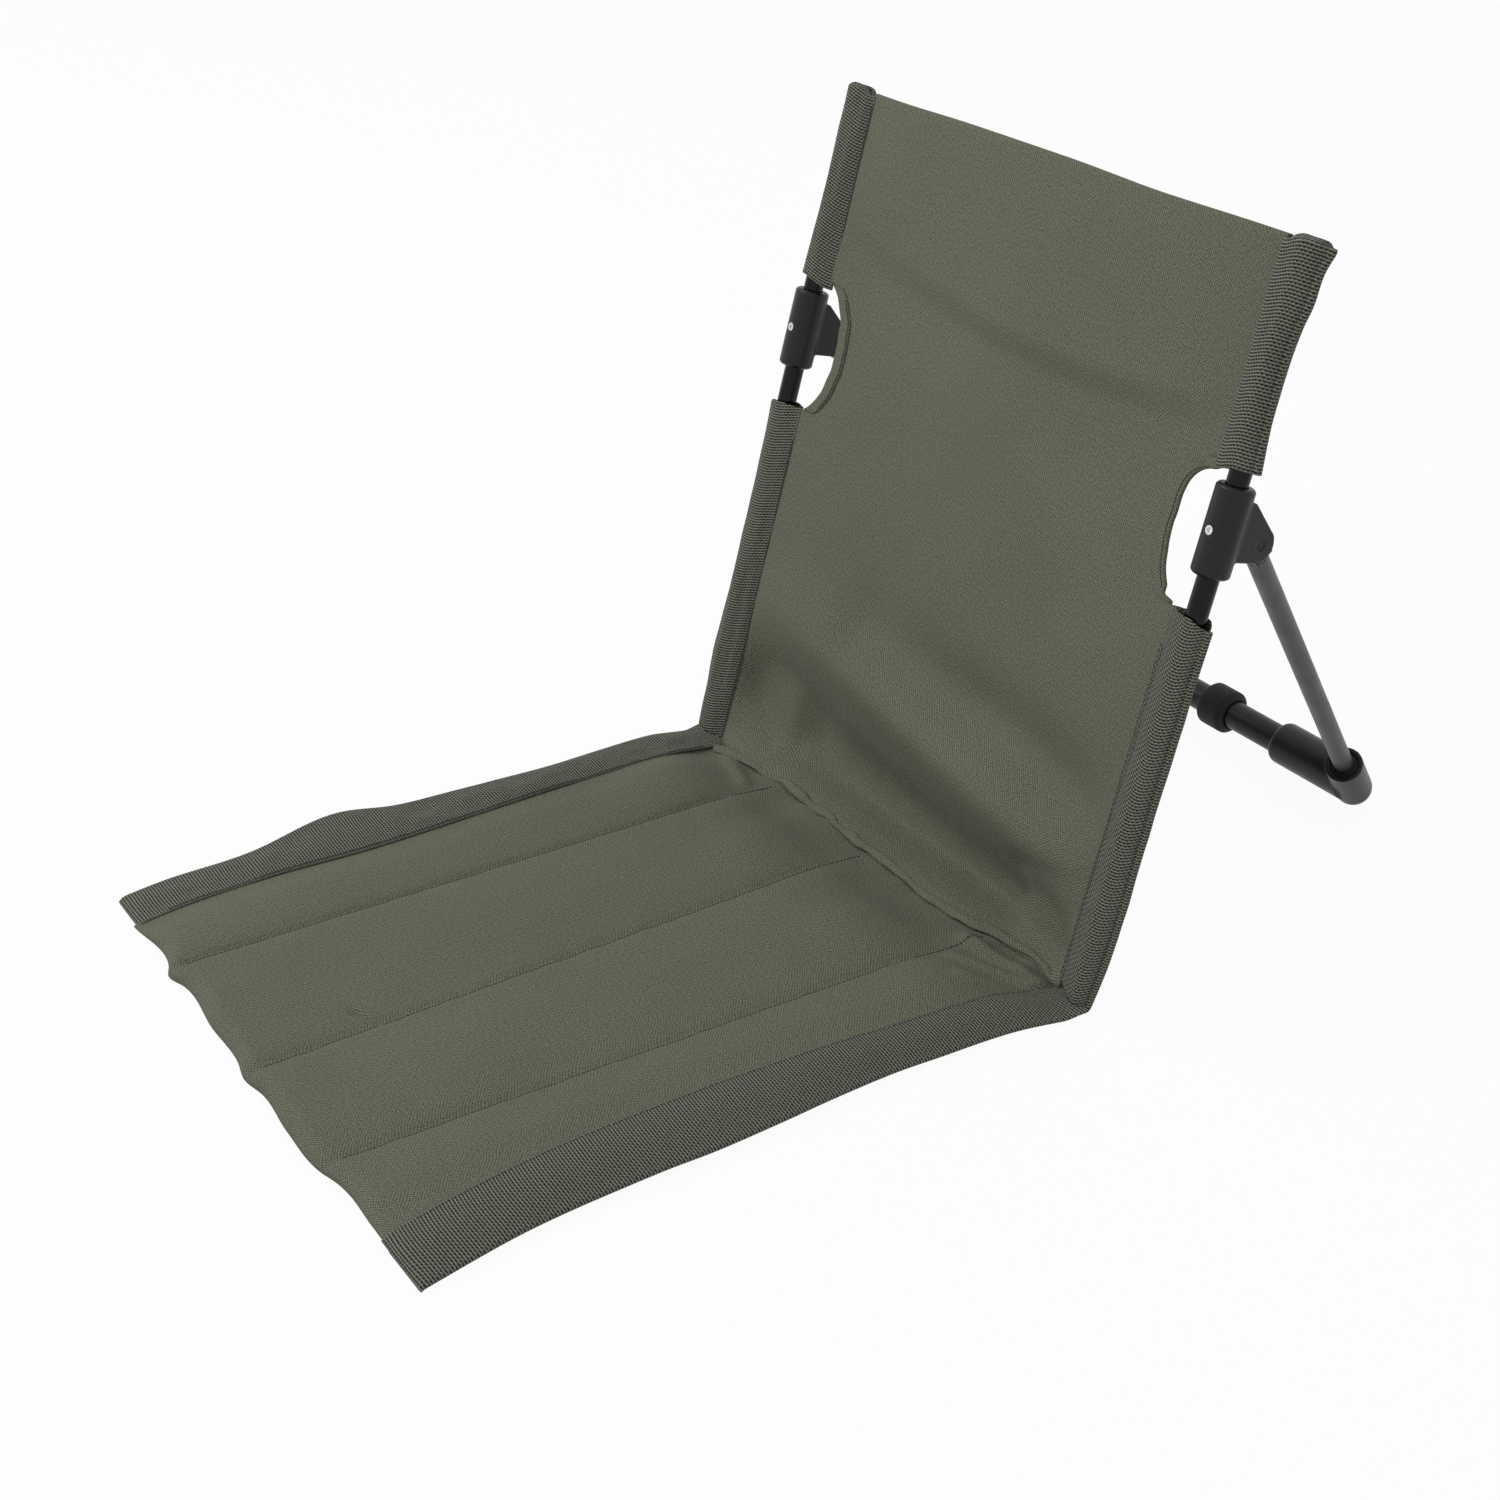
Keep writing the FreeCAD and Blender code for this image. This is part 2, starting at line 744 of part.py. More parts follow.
def leg_bush(side_name, side):
    """The ring that fills the cup round the leg."""
    down = leg_direction(side)
    start = bar_point(side) - down * (size("cup_rim") - size("bush_recess")).value
    place = Placement(start, Rotation(Z_AXIS, down))
    outer = cup_bore - size("fit_clearance")
    tube(f"{side_name}_leg_bush", outer, leg_radius + size("fit_clearance"), size("bush_length"), place)


def crossbar_half(side_name, side):
    """Half of the crossbar, from the middle joint into its foot."""
    start = size("bar_joint_gap") / 2
    length = socket_start + size("bar_insert") - start
    base = Vector(side * start.value, crease_y + bar_y, size("bar_height").value)
    place = Placement(base, Rotation(Z_AXIS, X_AXIS * side))
    tube(f"{side_name}_crossbar", bar_radius, bar_bore, length, place)


def centre_collar():
    """A ring over the joint of the crossbar halves, its outer edges well rounded."""
    bore = bar_radius + size("fit_clearance")
    outer = size("collar_diameter") / 2
    chamfer = size("collar_chamfer")
    end = size("collar_length") / 2
    outline = (
        (bore, -end),
        (outer - chamfer, -end),
        (outer, chamfer - end),
        (outer, end - chamfer),
        (outer - chamfer, end),
        (bore, end),
    )
    place = Placement(Vector(0, crease_y + bar_y, size("bar_height").value), Rotation(Z_AXIS, X_AXIS))
    turned("centre_collar", outline, place)


def crossbar_spigot():
    """The plug inside both halves of the crossbar."""
    half = size("bar_spigot").value / 2
    base = Vector(-half, crease_y + bar_y, size("bar_height").value)
    item = cylinder(bar_bore - size("fit_clearance"), size("bar_spigot"), base, X_AXIS)
    keep(item, "crossbar_spigot")


# Seat


def seat_stations():
    """Where the quilt's sections stand, front to back, with their crown and stitch heights."""
    front = -size("seat_length").value
    rear = -seat_rear.value
    taper = size("end_taper").value
    thin = (size("end_crown").value, size("end_stitch").value)
    full = (size("crown_height").value, size("stitch_height").value)
    return ((front, thin), (front + taper, full), (rear - taper, full), (rear, thin))


def quilt_lines():
    """The sewn lines across the quilt, seam to seam."""
    seam = seat_seam.value
    pitch = size("quilt_pitch").value
    return (-seam, -pitch, 0, pitch, seam)


def lobed_wire(lines, y, floor, crown, stitch):
    """A section with a flat floor and one arc between each pair of sewn lines."""
    tops = [Vector(x, y, stitch) for x in lines]
    low_first = Vector(lines[0], y, floor)
    low_last = Vector(lines[-1], y, floor)
    edges = [Part.makeLine(low_last, low_first), Part.makeLine(low_first, tops[0])]
    for first, last in zip(tops, tops[1:]):
        middle = Vector((first.x + last.x) / 2, y, crown)
        edges.append(Part.Arc(first, middle, last).toShape())
    edges.append(Part.makeLine(tops[-1], low_last))
    return Part.Wire(edges)


def channel_shape(index, floor, inset):
    """The space of one padded channel, drawn in by an inset all round."""
    lines = quilt_lines()
    margin = size("stitch_margin").value + inset
    ends = (lines[index] + margin, lines[index + 1] - margin)
    skin = size("quilt_cloth").value + inset
    stations = seat_stations()
    wires = []
    for number, (y, (crown, stitch)) in enumerate(stations):
        if number == 0:
            y += margin
        if number == len(stations) - 1:
            y -= margin
        wires.append(lobed_wire(ends, y, floor, crown - skin, stitch - skin))
    return Part.makeLoft(wires, True, True)


def seat_top_cloth():
    """The quilted cover: four crowned channels between sewn lines, open underneath."""
    floor = size("base_cloth").value
    wires = [lobed_wire(quilt_lines(), y, floor, crown, stitch) for y, (crown, stitch) in seat_stations()]
    cover = Part.makeLoft(wires, True, True)
    for index in range(len(quilt_lines()) - 1):
        cover = cover.cut(channel_shape(index, floor / 2, 0))
    solid_feature("seat_top_cloth", cover)


def seat_foam():
    """One foam strip in each channel."""
    floor = size("base_cloth").value + size("foam_slack").value
    for index in range(len(quilt_lines()) - 1):
        solid_feature(f"seat_foam_{index + 1}", channel_shape(index, floor, size("foam_slack").value))


def seat_base_cloth():
    """The flat sheet under the quilt, which lies on the floor."""
    length = size("seat_length") - seat_rear
    item = box(seat_seam * 2, length, size("base_cloth"), Vector())
    corner = Vector(-seat_seam.value, crease_y - size("seat_length").value, 0)
    keep(item, "seat_base_cloth", Placement(corner, Rotation()))


def seat_band(side_name, side):
    """A webbing binding along the seat's side, flat at its ends and curled up between."""
    front = -size("seat_length").value
    rear = -seat_rear.value
    curl = size("band_curl").value
    stations = ((front, 0), (front + size("curl_front").value, curl),
                (rear - size("curl_rear").value, curl), (rear, 0))
    width = size("band_width").value
    thickness = size("band_thickness").value
    seam = (seat_seam + size("band_gap")).value
    wires = []
    for y, angle in stations:
        tilt = math.radians(angle)
        along = Vector(side * math.cos(tilt), 0, math.sin(tilt))
        upward = Vector(-side * math.sin(tilt), 0, math.cos(tilt))
        inner = Vector(side * (seam + thickness * math.sin(tilt)), y, 0)
        corners = [inner, inner + along * width, inner + along * width + upward * thickness,
                   inner + upward * thickness]
        wires.append(Part.makePolygon(corners + [inner]))
    solid_feature(f"{side_name}_seat_band", Part.makeLoft(wires, True, True))


def build():
    """Make every sub-part of the chair."""
    for side_name, side in SIDES:
        back_pole(side_name, side)
        pole_caps(side_name, side)
        hub(side_name, side)
        pole_sleeves(side_name, side)
        cutout_facing(side_name, side)
        leg_knuckle(side_name, side)
        prop_leg(side_name, side)
        foot(side_name, side)
        leg_bush(side_name, side)
        crossbar_half(side_name, side)
        seat_band(side_name, side)
    group("hub_screws", [hub_screw(side) for _, side in SIDES])
    group("pivot_pins", [pivot_pin(side) for _, side in SIDES])
    back_panel()
    rear_flap()
    centre_collar()
    crossbar_spigot()
    seat_top_cloth()
    seat_foam()
    seat_base_cloth()


def check():
    """Stop if any object failed or any sub-part has no valid shape."""
    doc.recompute()
    for item in doc.Objects:
        if "Invalid" in item.State or "Error" in item.State:
            raise RuntimeError(f"{item.Label} failed: {item.State}")
    for item in nodes:
        if item.Shape.isNull() or not item.Shape.isValid() or not item.Shape.Solids:
            raise RuntimeError(f"{item.Label} has no valid solid")


def write():
    """Write each sub-part under its own name."""
    os.makedirs("parts", exist_ok=True)
    for item in nodes:
        item.Shape.exportStep(f"parts/{item.Label}.step")


build()
check()
write()
print(len(nodes), "sub-parts")
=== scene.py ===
import json
import math

import bmesh
import bpy
import numpy as np
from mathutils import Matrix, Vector


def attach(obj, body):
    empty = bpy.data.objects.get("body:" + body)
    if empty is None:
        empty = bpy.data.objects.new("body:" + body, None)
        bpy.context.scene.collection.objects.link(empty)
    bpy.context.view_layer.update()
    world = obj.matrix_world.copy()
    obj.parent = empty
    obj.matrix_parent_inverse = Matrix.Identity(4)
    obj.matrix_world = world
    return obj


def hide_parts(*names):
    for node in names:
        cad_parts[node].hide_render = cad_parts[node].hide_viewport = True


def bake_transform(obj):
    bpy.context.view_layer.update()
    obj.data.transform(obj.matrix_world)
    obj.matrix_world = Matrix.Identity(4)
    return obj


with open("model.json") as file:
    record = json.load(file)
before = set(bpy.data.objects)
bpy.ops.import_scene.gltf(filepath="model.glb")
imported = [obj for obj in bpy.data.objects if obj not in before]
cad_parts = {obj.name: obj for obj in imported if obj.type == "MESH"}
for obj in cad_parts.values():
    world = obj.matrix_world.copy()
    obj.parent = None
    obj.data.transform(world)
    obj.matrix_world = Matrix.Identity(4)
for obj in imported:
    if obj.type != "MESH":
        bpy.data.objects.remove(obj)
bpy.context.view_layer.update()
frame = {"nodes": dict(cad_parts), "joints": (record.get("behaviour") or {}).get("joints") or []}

bl_info = {
    "name": "Folding beach chair",
    "version": (1, 0, 0),
    "blender": (4, 5, 0),
    "location": "View3D > Sidebar > Beach chair",
    "description": "Dresses the folding beach chair in cloth, webbing, paint and moulded nylon",
    "category": "Object",
}

MM = 0.001
UP = np.array([0, 0, 1.0])
SIDES = (("left", 1), ("right", -1))
JOINTS = {joint["name"]: joint for joint in frame["joints"]}

# Where the back stands, in metres: it tilts about the crease line on the floor
RECLINE = math.radians(15.5)
RISE = math.cos(RECLINE)
LEAN = math.sin(RECLINE)
FACING = np.array([0, -RISE, LEAN])
HINGE = Vector(JOINTS["seat_fold"]["pos_m"])
HINGE_SETBACK = 26 * MM
CREASE_Y = HINGE.y + HINGE_SETBACK
POLE_X = 200 * MM
POLE_FOOT_Z = 6.6 * MM
POLE_TOP = 446 * MM
SLEEVE_SEAM = 182 * MM
MOUTH_LOW = 239 * MM
MOUTH_HIGH = 325 * MM
SEAT_LENGTH = 434 * MM
SEAT_FRONT = CREASE_Y - SEAT_LENGTH
SEAT_REAR = CREASE_Y + 1 * MM

# How the soft edges of the seat lie, in mm: distance ahead of the crease, the binding's seam
# (out from the middle, height) and its rim (out from the middle, height)
SOFT_EDGES = {
    "left": (
        (434, 163, 5, 207, 2.8),
        (380, 159, 10, 200, 4.5),
        (240, 157, 12.5, 198, 5.5),
        (110, 167, 11.5, 197, 5),
        (30, 175, 9, 205, 4),
        (3, 181, 7, 211, 3),
    ),
    "right": (
        (430, 182, 4.5, 218, 3.5),
        (400, 182, 7.5, 217, 6.5),
        (345, 180, 10, 212, 11),
        (275, 174, 11, 216, 17),
        (245, 174, 11, 209, 15),
        (195, 175, 11, 206, 13),
        (130, 176, 11, 203, 12),
        (52, 175, 10, 205, 10),
        (3, 177, 7, 207, 6),
    ),
}
# How far the quilt's front edge lies behind its straight line, in mm: out from the middle, setback
FRONT_EDGE = (
    (-186, 2.4), (-134, 4.5), (-122, 0.3), (-108, 4), (-60, 1.2), (-20, 0.6), (-3, -2.8),
    (16, 0.3), (53, -1.7), (96, 0), (105, 2.4), (150, 3), (170, 2.5),
)
# How far each sleeve reaches outside its pole's axis, in mm: place along the back, reach
SLEEVE_REACH = {
    "left_upper": ((325, 13), (342, 10.8), (366, 8.7), (394, 8.7), (420, 12.6), (436, 12.4), (451, 15.5)),
    "right_upper": ((325, 14), (338, 13), (362, 10.6), (400, 10.2), (432, 11.4), (451, 11)),
    "left_lower": ((-5, 9.7), (30, 13.6), (120, 13.2), (200, 13.4), (239, 14.6)),
    "right_lower": ((-5, 9.7), (30, 13.6), (120, 13.2), (200, 13.4), (239, 14.2)),
}
# The quilt's sewn lines: out from the middle at the front and at the crease
QUILT_LINES = ((-122 * MM, -107 * MM), (0.0, -2 * MM), (97 * MM, 116 * MM))

# How deep the back's main folds are: above the crease, the belly over it, the second fold over that,
# and how far the doubled top stands forward
DEEP_FOLD = 30 * MM
BELLY = 12 * MM
SECOND_FOLD = 16 * MM
PADDED_TOP = 6.5 * MM
# Short wrinkles above the crease, in mm: start and end (out from the middle, up the back), width and depth
CREASE_WRINKLES = (
    ((-168, 34), (-140, 12), 5, 3.5),
    ((-150, 46), (-112, 20), 5, -2.5),
    ((-42, 26), (-30, 2), 5, 3),
    ((-8, 20), (14, 4), 5, -2.5),
    ((52, 18), (88, 2), 5, 3),
    ((98, 16), (150, 6), 5, -3),
    ((118, 24), (174, 8), 5, 3.5),
    ((136, 40), (176, 14), 5, 3),
)
# Hollows in the quilt, in mm: start and end (out from the middle, ahead of the crease), width and depth
QUILT_HOLLOWS = (
    ((-80, 25), (-72, 80), 17, 2.6),
    ((48, 18), (32, 66), 17, 2.6),
    ((140, 5), (118, 40), 14, 2),
    ((-20, 362), (-2, 353), 2, 2.4),
)
# Folds where the seat is sewn into the corners: as above, with the height that they stand up
CORNER_FOLDS = (
    ((178, 6), (112, 14), 5, 4.5),
    ((176, 12), (126, 34), 5, 4),
    ((176, 20), (150, 48), 5, 3),
    ((-168, 8), (-120, 24), 5, 3),
)
# A stitch that covers more than its pitch runs into the next, as a cord does. Such an unbroken dark cord is
# painted shade: it draws the shadow in the gap along a seam's edge together with the thread there
SEAM_SHADE_CORD = 1.05
# How each band lies: its front end's setback, bulge and puckers in mm, and its stitches' cover (a share
# of their pitch) and radius in mm
BANDS = {
    "left": (2.4, 3.2, 0.25, 0.72, 0.28),
    # The right band's seam is an unbroken dark cord: painted shade of the step where the band's edge lies on
    # the quilt, with its thread
    "right": (4.5, 1.6, 0.8, SEAM_SHADE_CORD, 0.5),
}


# Settings


def length_setting(name, description, millimetres):
    """A setting for a length, kept in metres."""
    return bpy.props.FloatProperty(
        name=name, description=description, default=millimetres * MM, unit="LENGTH")


def colour_setting(name, surface, code):
    """A setting for the colour of a surface."""
    return bpy.props.StringProperty(name=name, description=f"sRGB hex of {surface}", default=code)


class ChairClothSettings(bpy.types.PropertyGroup):
    """Sizes and colours of the cloth and the webbing."""

    sag: length_setting("Sag", "How far the cloth bows back between the poles", 7)
    cutout_depth: length_setting("Cut-out depth", "How deep the cloth is cut in beside a hub", 22)
    cloth_thickness: length_setting("Cloth thickness", "Thickness of the oxford cloth", 1.1)
    webbing_thickness: length_setting("Webbing thickness", "Thickness of one layer of webbing", 0.7)
    thread_pitch: length_setting("Thread pitch", "Spacing of the cloth's threads", 2)
    rib_pitch: length_setting("Rib pitch", "Spacing of the webbing's cross ribs", 1.9)
    bead_pitch: length_setting("Bead pitch", "Spacing of the threads that show as beads along a rib", 2.4)
    selvedge: length_setting("Selvedge", "Width of the webbing's smooth edge", 1.8)
    stitch_pitch: length_setting("Stitch pitch", "Length of one stitch and the gap after it", 3.4)
    cloth_colour: colour_setting("Cloth colour", "the threads on top", "818370")
    cloth_shade: colour_setting("Cloth shade", "the gaps between the threads", "383A34")
    webbing_colour: colour_setting("Webbing colour", "the ribs", "8C8D81")
    webbing_shade: colour_setting("Webbing shade", "the gaps between the ribs", "0E0F0D")
    # The same colour serves the unbroken cords that are painted shade along the seams
    thread_and_shade_colour: colour_setting("Thread colour", "the sewing thread", "2E2F29")


class ChairSeatSettings(bpy.types.PropertyGroup):
    """Sizes of the quilted seat."""

    crown: length_setting("Crown", "Height of a padded channel", 11.5)
    stitch_height: length_setting("Stitch height", "Height of the sewn lines", 8.2)


class ChairFinishSettings(bpy.types.PropertyGroup):
    """Colours and roundings of the frame's pieces."""

    pole_colour: colour_setting("Pole colour", "the gloss paint", "060607")
    bar_colour: colour_setting("Crossbar colour", "the satin paint", "161617")
    leg_colour: colour_setting("Leg colour", "the anodised tube", "484848")
    nylon_colour: colour_setting("Nylon colour", "the moulded pieces", "131314")
    rubber_colour: colour_setting("Rubber colour", "the collar and bushes", "151516")
    steel_colour: colour_setting("Steel colour", "the plated screws", "DEDEDC")
    moulding_detail: length_setting("Moulding detail", "Size of the grid that rounds moulded edges", 0.6)


class ChairStageSettings(bpy.types.PropertyGroup):
    """Camera, floor and lamps."""

    lens: bpy.props.FloatProperty(
        name="Lens", description="Focal length on a 36 mm sensor", default=56.4, unit="CAMERA")
    camera_place: bpy.props.FloatVectorProperty(
        name="Camera place", description="Where the camera stands",
        default=(1.0361, -0.7290, 0.8041), subtype="TRANSLATION")
    camera_turn: bpy.props.FloatVectorProperty(
        name="Camera turn", description="How the camera is turned",
        default=(math.radians(60.83), 0, math.radians(56.45)), subtype="EULER")
    world_level: bpy.props.FloatProperty(
        name="World level", description="Brightness of the even light all round", default=0.6)
    key_power: bpy.props.FloatProperty(
        name="Key power", description="Power of the large lamp", default=47, unit="POWER")
    fill_power: bpy.props.FloatProperty(
        name="Fill power", description="Power of the side lamp", default=2, unit="POWER")


# Shapes


def grid_points(x, y, z):
    """Points from coordinates that are spread over one grid."""
    return np.stack(np.broadcast_arrays(x, y, z), axis=-1)


def back_points(x, behind, along):
    """Points of the tilted back, behind the pole axes and along them from their foot."""
    y = CREASE_Y + behind * RISE + along * LEAN
    z = POLE_FOOT_Z - behind * LEAN + along * RISE
    return grid_points(x, y, z)


def ease(low, high, value):
    """A smooth step from 0 at low to 1 at high."""
    share = np.clip((value - low) / (high - low), 0, 1)
    return share * share * (3 - 2 * share)


def rounded_end(inside, radius):
    """A quarter round: 0 at an edge, and 1 from a radius inside it."""
    return np.sqrt(1 - (1 - np.clip(inside / radius, 0, 1)) ** 2)


def soft_noise(first, second, cell, seed):
    """Smooth noise from -1 to 1 over two coordinates, about one bump in each cell."""
    cells = 64
    lattice = np.random.default_rng(seed).uniform(-1, 1, (cells, cells))
    p, q = np.broadcast_arrays(first / cell, second / cell)
    i, j = np.floor(p).astype(int), np.floor(q).astype(int)
    f, g = ease(0, 1, p - i), ease(0, 1, q - j)

    def pick(right, up):
        return lattice[(i + right) % cells, (j + up) % cells]

    low = pick(0, 0) * (1 - f) + pick(1, 0) * f
    high = pick(0, 1) * (1 - f) + pick(1, 1) * f
    return low * (1 - g) + high * g


def crease(x, y, start, end, width, below=None):
    """A soft groove of depth 1 along a line between two points in mm.

    Its width is in mm too, and it may have another one below the line.
    """
    start, end = np.array(start) * MM, np.array(end) * MM
    run = end - start
    length = np.linalg.norm(run)
    along = ((x - start[0]) * run[0] + (y - start[1]) * run[1]) / length
    across = ((x - start[0]) * -run[1] + (y - start[1]) * run[0]) / length
    beyond = np.maximum(np.maximum(-along, along - length), 0)
    reach = np.where(across < 0, below or width, width) * MM
    return np.exp(-(across ** 2 + beyond ** 2) / reach ** 2)


def creases(x, y, table):
    """The depth of a table of creases together: start, end, width and depth of each, in mm."""
    return sum(depth * MM * crease(x, y, start, end, width) for start, end, width, depth in table)


def through(at, places, values):
    """A smooth curve through a few values, read at many places."""
    slopes = np.gradient(values, places)
    span = np.clip(np.searchsorted(places, at) - 1, 0, len(places) - 2)
    width = places[span + 1] - places[span]
    t = np.clip((at - places[span]) / width, 0, 1)
    start, end = values[span], values[span + 1]
    leave, arrive = slopes[span] * width, slopes[span + 1] * width
    return (start * (1 + 2 * t) * (1 - t) ** 2 + leave * t * (1 - t) ** 2
            + end * t * t * (3 - 2 * t) - arrive * t * t * (1 - t))


def soft_edge(name, y):
    """Seam and rim of one side's binding at places along the seat, in metres from the middle and floor."""
    ahead, *columns = np.array(SOFT_EDGES[name]).T * MM
    return [through(CREASE_Y - y, ahead[::-1], column[::-1]) for column in columns]


def arc_lengths(points, axis):
    """Distance along a grid of points in one direction, from its first row or column."""
    steps = np.linalg.norm(np.diff(points, axis=axis), axis=-1)
    start = np.zeros_like(np.take(steps, [0], axis=axis))
    return np.concatenate([start, np.cumsum(steps, axis=axis)], axis=axis)


def flat_cut(points, wrap=False):
    """Where a grid's points lie in its flat cut: distances across and along it."""
    if wrap:
        points = np.concatenate([points, points[:, :1]], axis=1)
    return np.stack([arc_lengths(points, 1), arc_lengths(points, 0)], axis=-1)


def placed(name, data):
    """A new object in the scene."""
    item = bpy.data.objects.new(name, data)
    bpy.context.scene.collection.objects.link(item)
    return item


def grid_object(name, points, flat, wrap=False):
    """A mesh over a grid of points, with its flat cut in metres as the map for the weave."""
    rows, columns = points.shape[:2]
    index = np.arange(rows * columns).reshape(rows, columns)
    if wrap:
        index = np.hstack([index, index[:, :1]])
    flat_index = np.arange(flat.shape[0] * flat.shape[1]).reshape(flat.shape[:2])

    def quads(grid):
        corners = (grid[:-1, :-1], grid[:-1, 1:], grid[1:, 1:], grid[1:, :-1])
        return np.stack(corners, axis=-1).reshape(-1, 4)

    mesh = bpy.data.meshes.new(name)
    mesh.from_pydata(points.reshape(-1, 3).tolist(), [], quads(index).tolist())
    weave = mesh.uv_layers.new(name="weave")
    weave.data.foreach_set("uv", flat.reshape(-1, 2)[quads(flat_index).ravel()].ravel())
    mesh.shade_smooth()
    return placed(name, mesh)


def settle(item):
    """Turn an object's modifiers into its own mesh."""
    shown = item.evaluated_get(bpy.context.evaluated_depsgraph_get())
    mesh = bpy.data.meshes.new_from_object(shown)
    item.modifiers.clear()
    item.data = mesh
    mesh.shade_smooth()
    return item


def thicken(item, thickness, offset):
    """Give a sheet its thickness."""
    solid = item.modifiers.new("thickness", "SOLIDIFY")
    solid.thickness = thickness
    solid.offset = offset
    return settle(item)


def weld(item, distance):
    """Join the points that lie on each other."""
    shape = bmesh.new()
    shape.from_mesh(item.data)
    bmesh.ops.remove_doubles(shape, verts=shape.verts, dist=distance)
    bmesh.ops.recalc_face_normals(shape, faces=shape.faces)
    shape.to_mesh(item.data)
    shape.free()
    return item


def paint(item, material):
    """Give an object one material."""
    item.data.materials.clear()
    item.data.materials.append(material)
    return item


def stitches(name, path, up, look, cover=0.72, radius=0.28 * MM):
    """A row of raised stitches along a path of points, each covering a share of the pitch."""
    pitch = look.stitch_pitch
    along = arc_lengths(path, 0)
    length = pitch * cover
    rings = ((-0.5, 0.35), (-0.3, 1.0), (0.3, 1.0), (0.5, 0.35))
    sides = 6
    points, faces = [], []

    def on_path(place):
        return np.array([np.interp(place, along, path[:, axis]) for axis in range(3)])

    for place in np.arange(pitch, along[-1] - pitch, pitch):
        middle, ahead = on_path(place), on_path(place + length / 2)
        forward = (ahead - middle) / np.linalg.norm(ahead - middle)
        sideways = np.cross(forward, up)
        sideways /= np.linalg.norm(sideways)
        upward = np.cross(sideways, forward)
        first = len(points)
        for step, width in rings:
            for turn in np.arange(sides) * 2 * math.pi / sides:
                spoke = math.cos(turn) * sideways + math.sin(turn) * upward
                points.append(middle + forward * length * step + spoke * radius * width)
        for ring in range(len(rings) - 1):
            for side in range(sides):
                a = first + ring * sides + side
                b = first + ring * sides + (side + 1) % sides
                faces.append((a, b, b + sides, a + sides))
        last = first + (len(rings) - 1) * sides
        faces.append(tuple(first + side for side in reversed(range(sides))))
        faces.append(tuple(last + side for side in range(sides)))
    mesh = bpy.data.meshes.new(name)
    mesh.from_pydata([tuple(point) for point in points], [], faces)
    mesh.shade_smooth()
    return paint(placed(name, mesh), shared(thread_and_seam_shade, look))


# Materials


def linear(code):
    """Linear colour of an sRGB hex value."""
    channels = [int(code[place:place + 2], 16) / 255 for place in (0, 2, 4)]
    straight = [c / 12.92 if c <= 0.04045 else ((c + 0.055) / 1.055) ** 2.4 for c in channels]
    return (*straight, 1)


def add_node(tree, kind, inputs=None, **settings):
    """Add a node, set its fields, and fill its inputs with values, sockets or nodes' first sockets."""
    node = tree.nodes.new(kind)
    for field, value in settings.items():
        setattr(node, field, value)
    for socket, value in (inputs or {}).items():
        if isinstance(value, bpy.types.Node):
            value = value.outputs[0]
        if isinstance(value, bpy.types.NodeSocket):
            tree.links.new(value, node.inputs[socket])
        else:
            node.inputs[socket].default_value = value
    return node


def new_material(name):
    """An empty material and its node tree."""
    material = bpy.data.materials.new(name)
    material.use_nodes = True
    material.node_tree.nodes.clear()
    return material, material.node_tree


# A faint sheen and little shine, as on woven polyester
WOVEN = {"Sheen Weight": 0.03, "Sheen Roughness": 0.4, "Specular IOR Level": 0.15}


def finish_material(tree, colour, relief, gloss, more=None):
    """End a material in one principled shader.

    Relief is the source, strength and depth of its bumps. Gloss is the source of its roughness, the
    low and high end read there, and the roughness at each.
    """
    height, strength, depth = relief
    bump = add_node(tree, "ShaderNodeBump", {"Height": height, "Strength": strength, "Distance": depth})
    rough = add_node(tree, "ShaderNodeMapRange", dict(enumerate(gloss)))
    shader = add_node(tree, "ShaderNodeBsdfPrincipled", {
        "Base Color": colour, "Roughness": rough, "Normal": bump, **(more or {})})
    add_node(tree, "ShaderNodeOutputMaterial", {"Surface": shader})


def thread_wave(tree, coordinate, pitch):
    """Rounded ridges one pitch apart along a flat coordinate, from -1 to 1."""
    turns = add_node(tree, "ShaderNodeMath", {0: coordinate, 1: 2 * math.pi / pitch}, operation="MULTIPLY")
    return add_node(tree, "ShaderNodeMath", {0: turns}, operation="SINE")


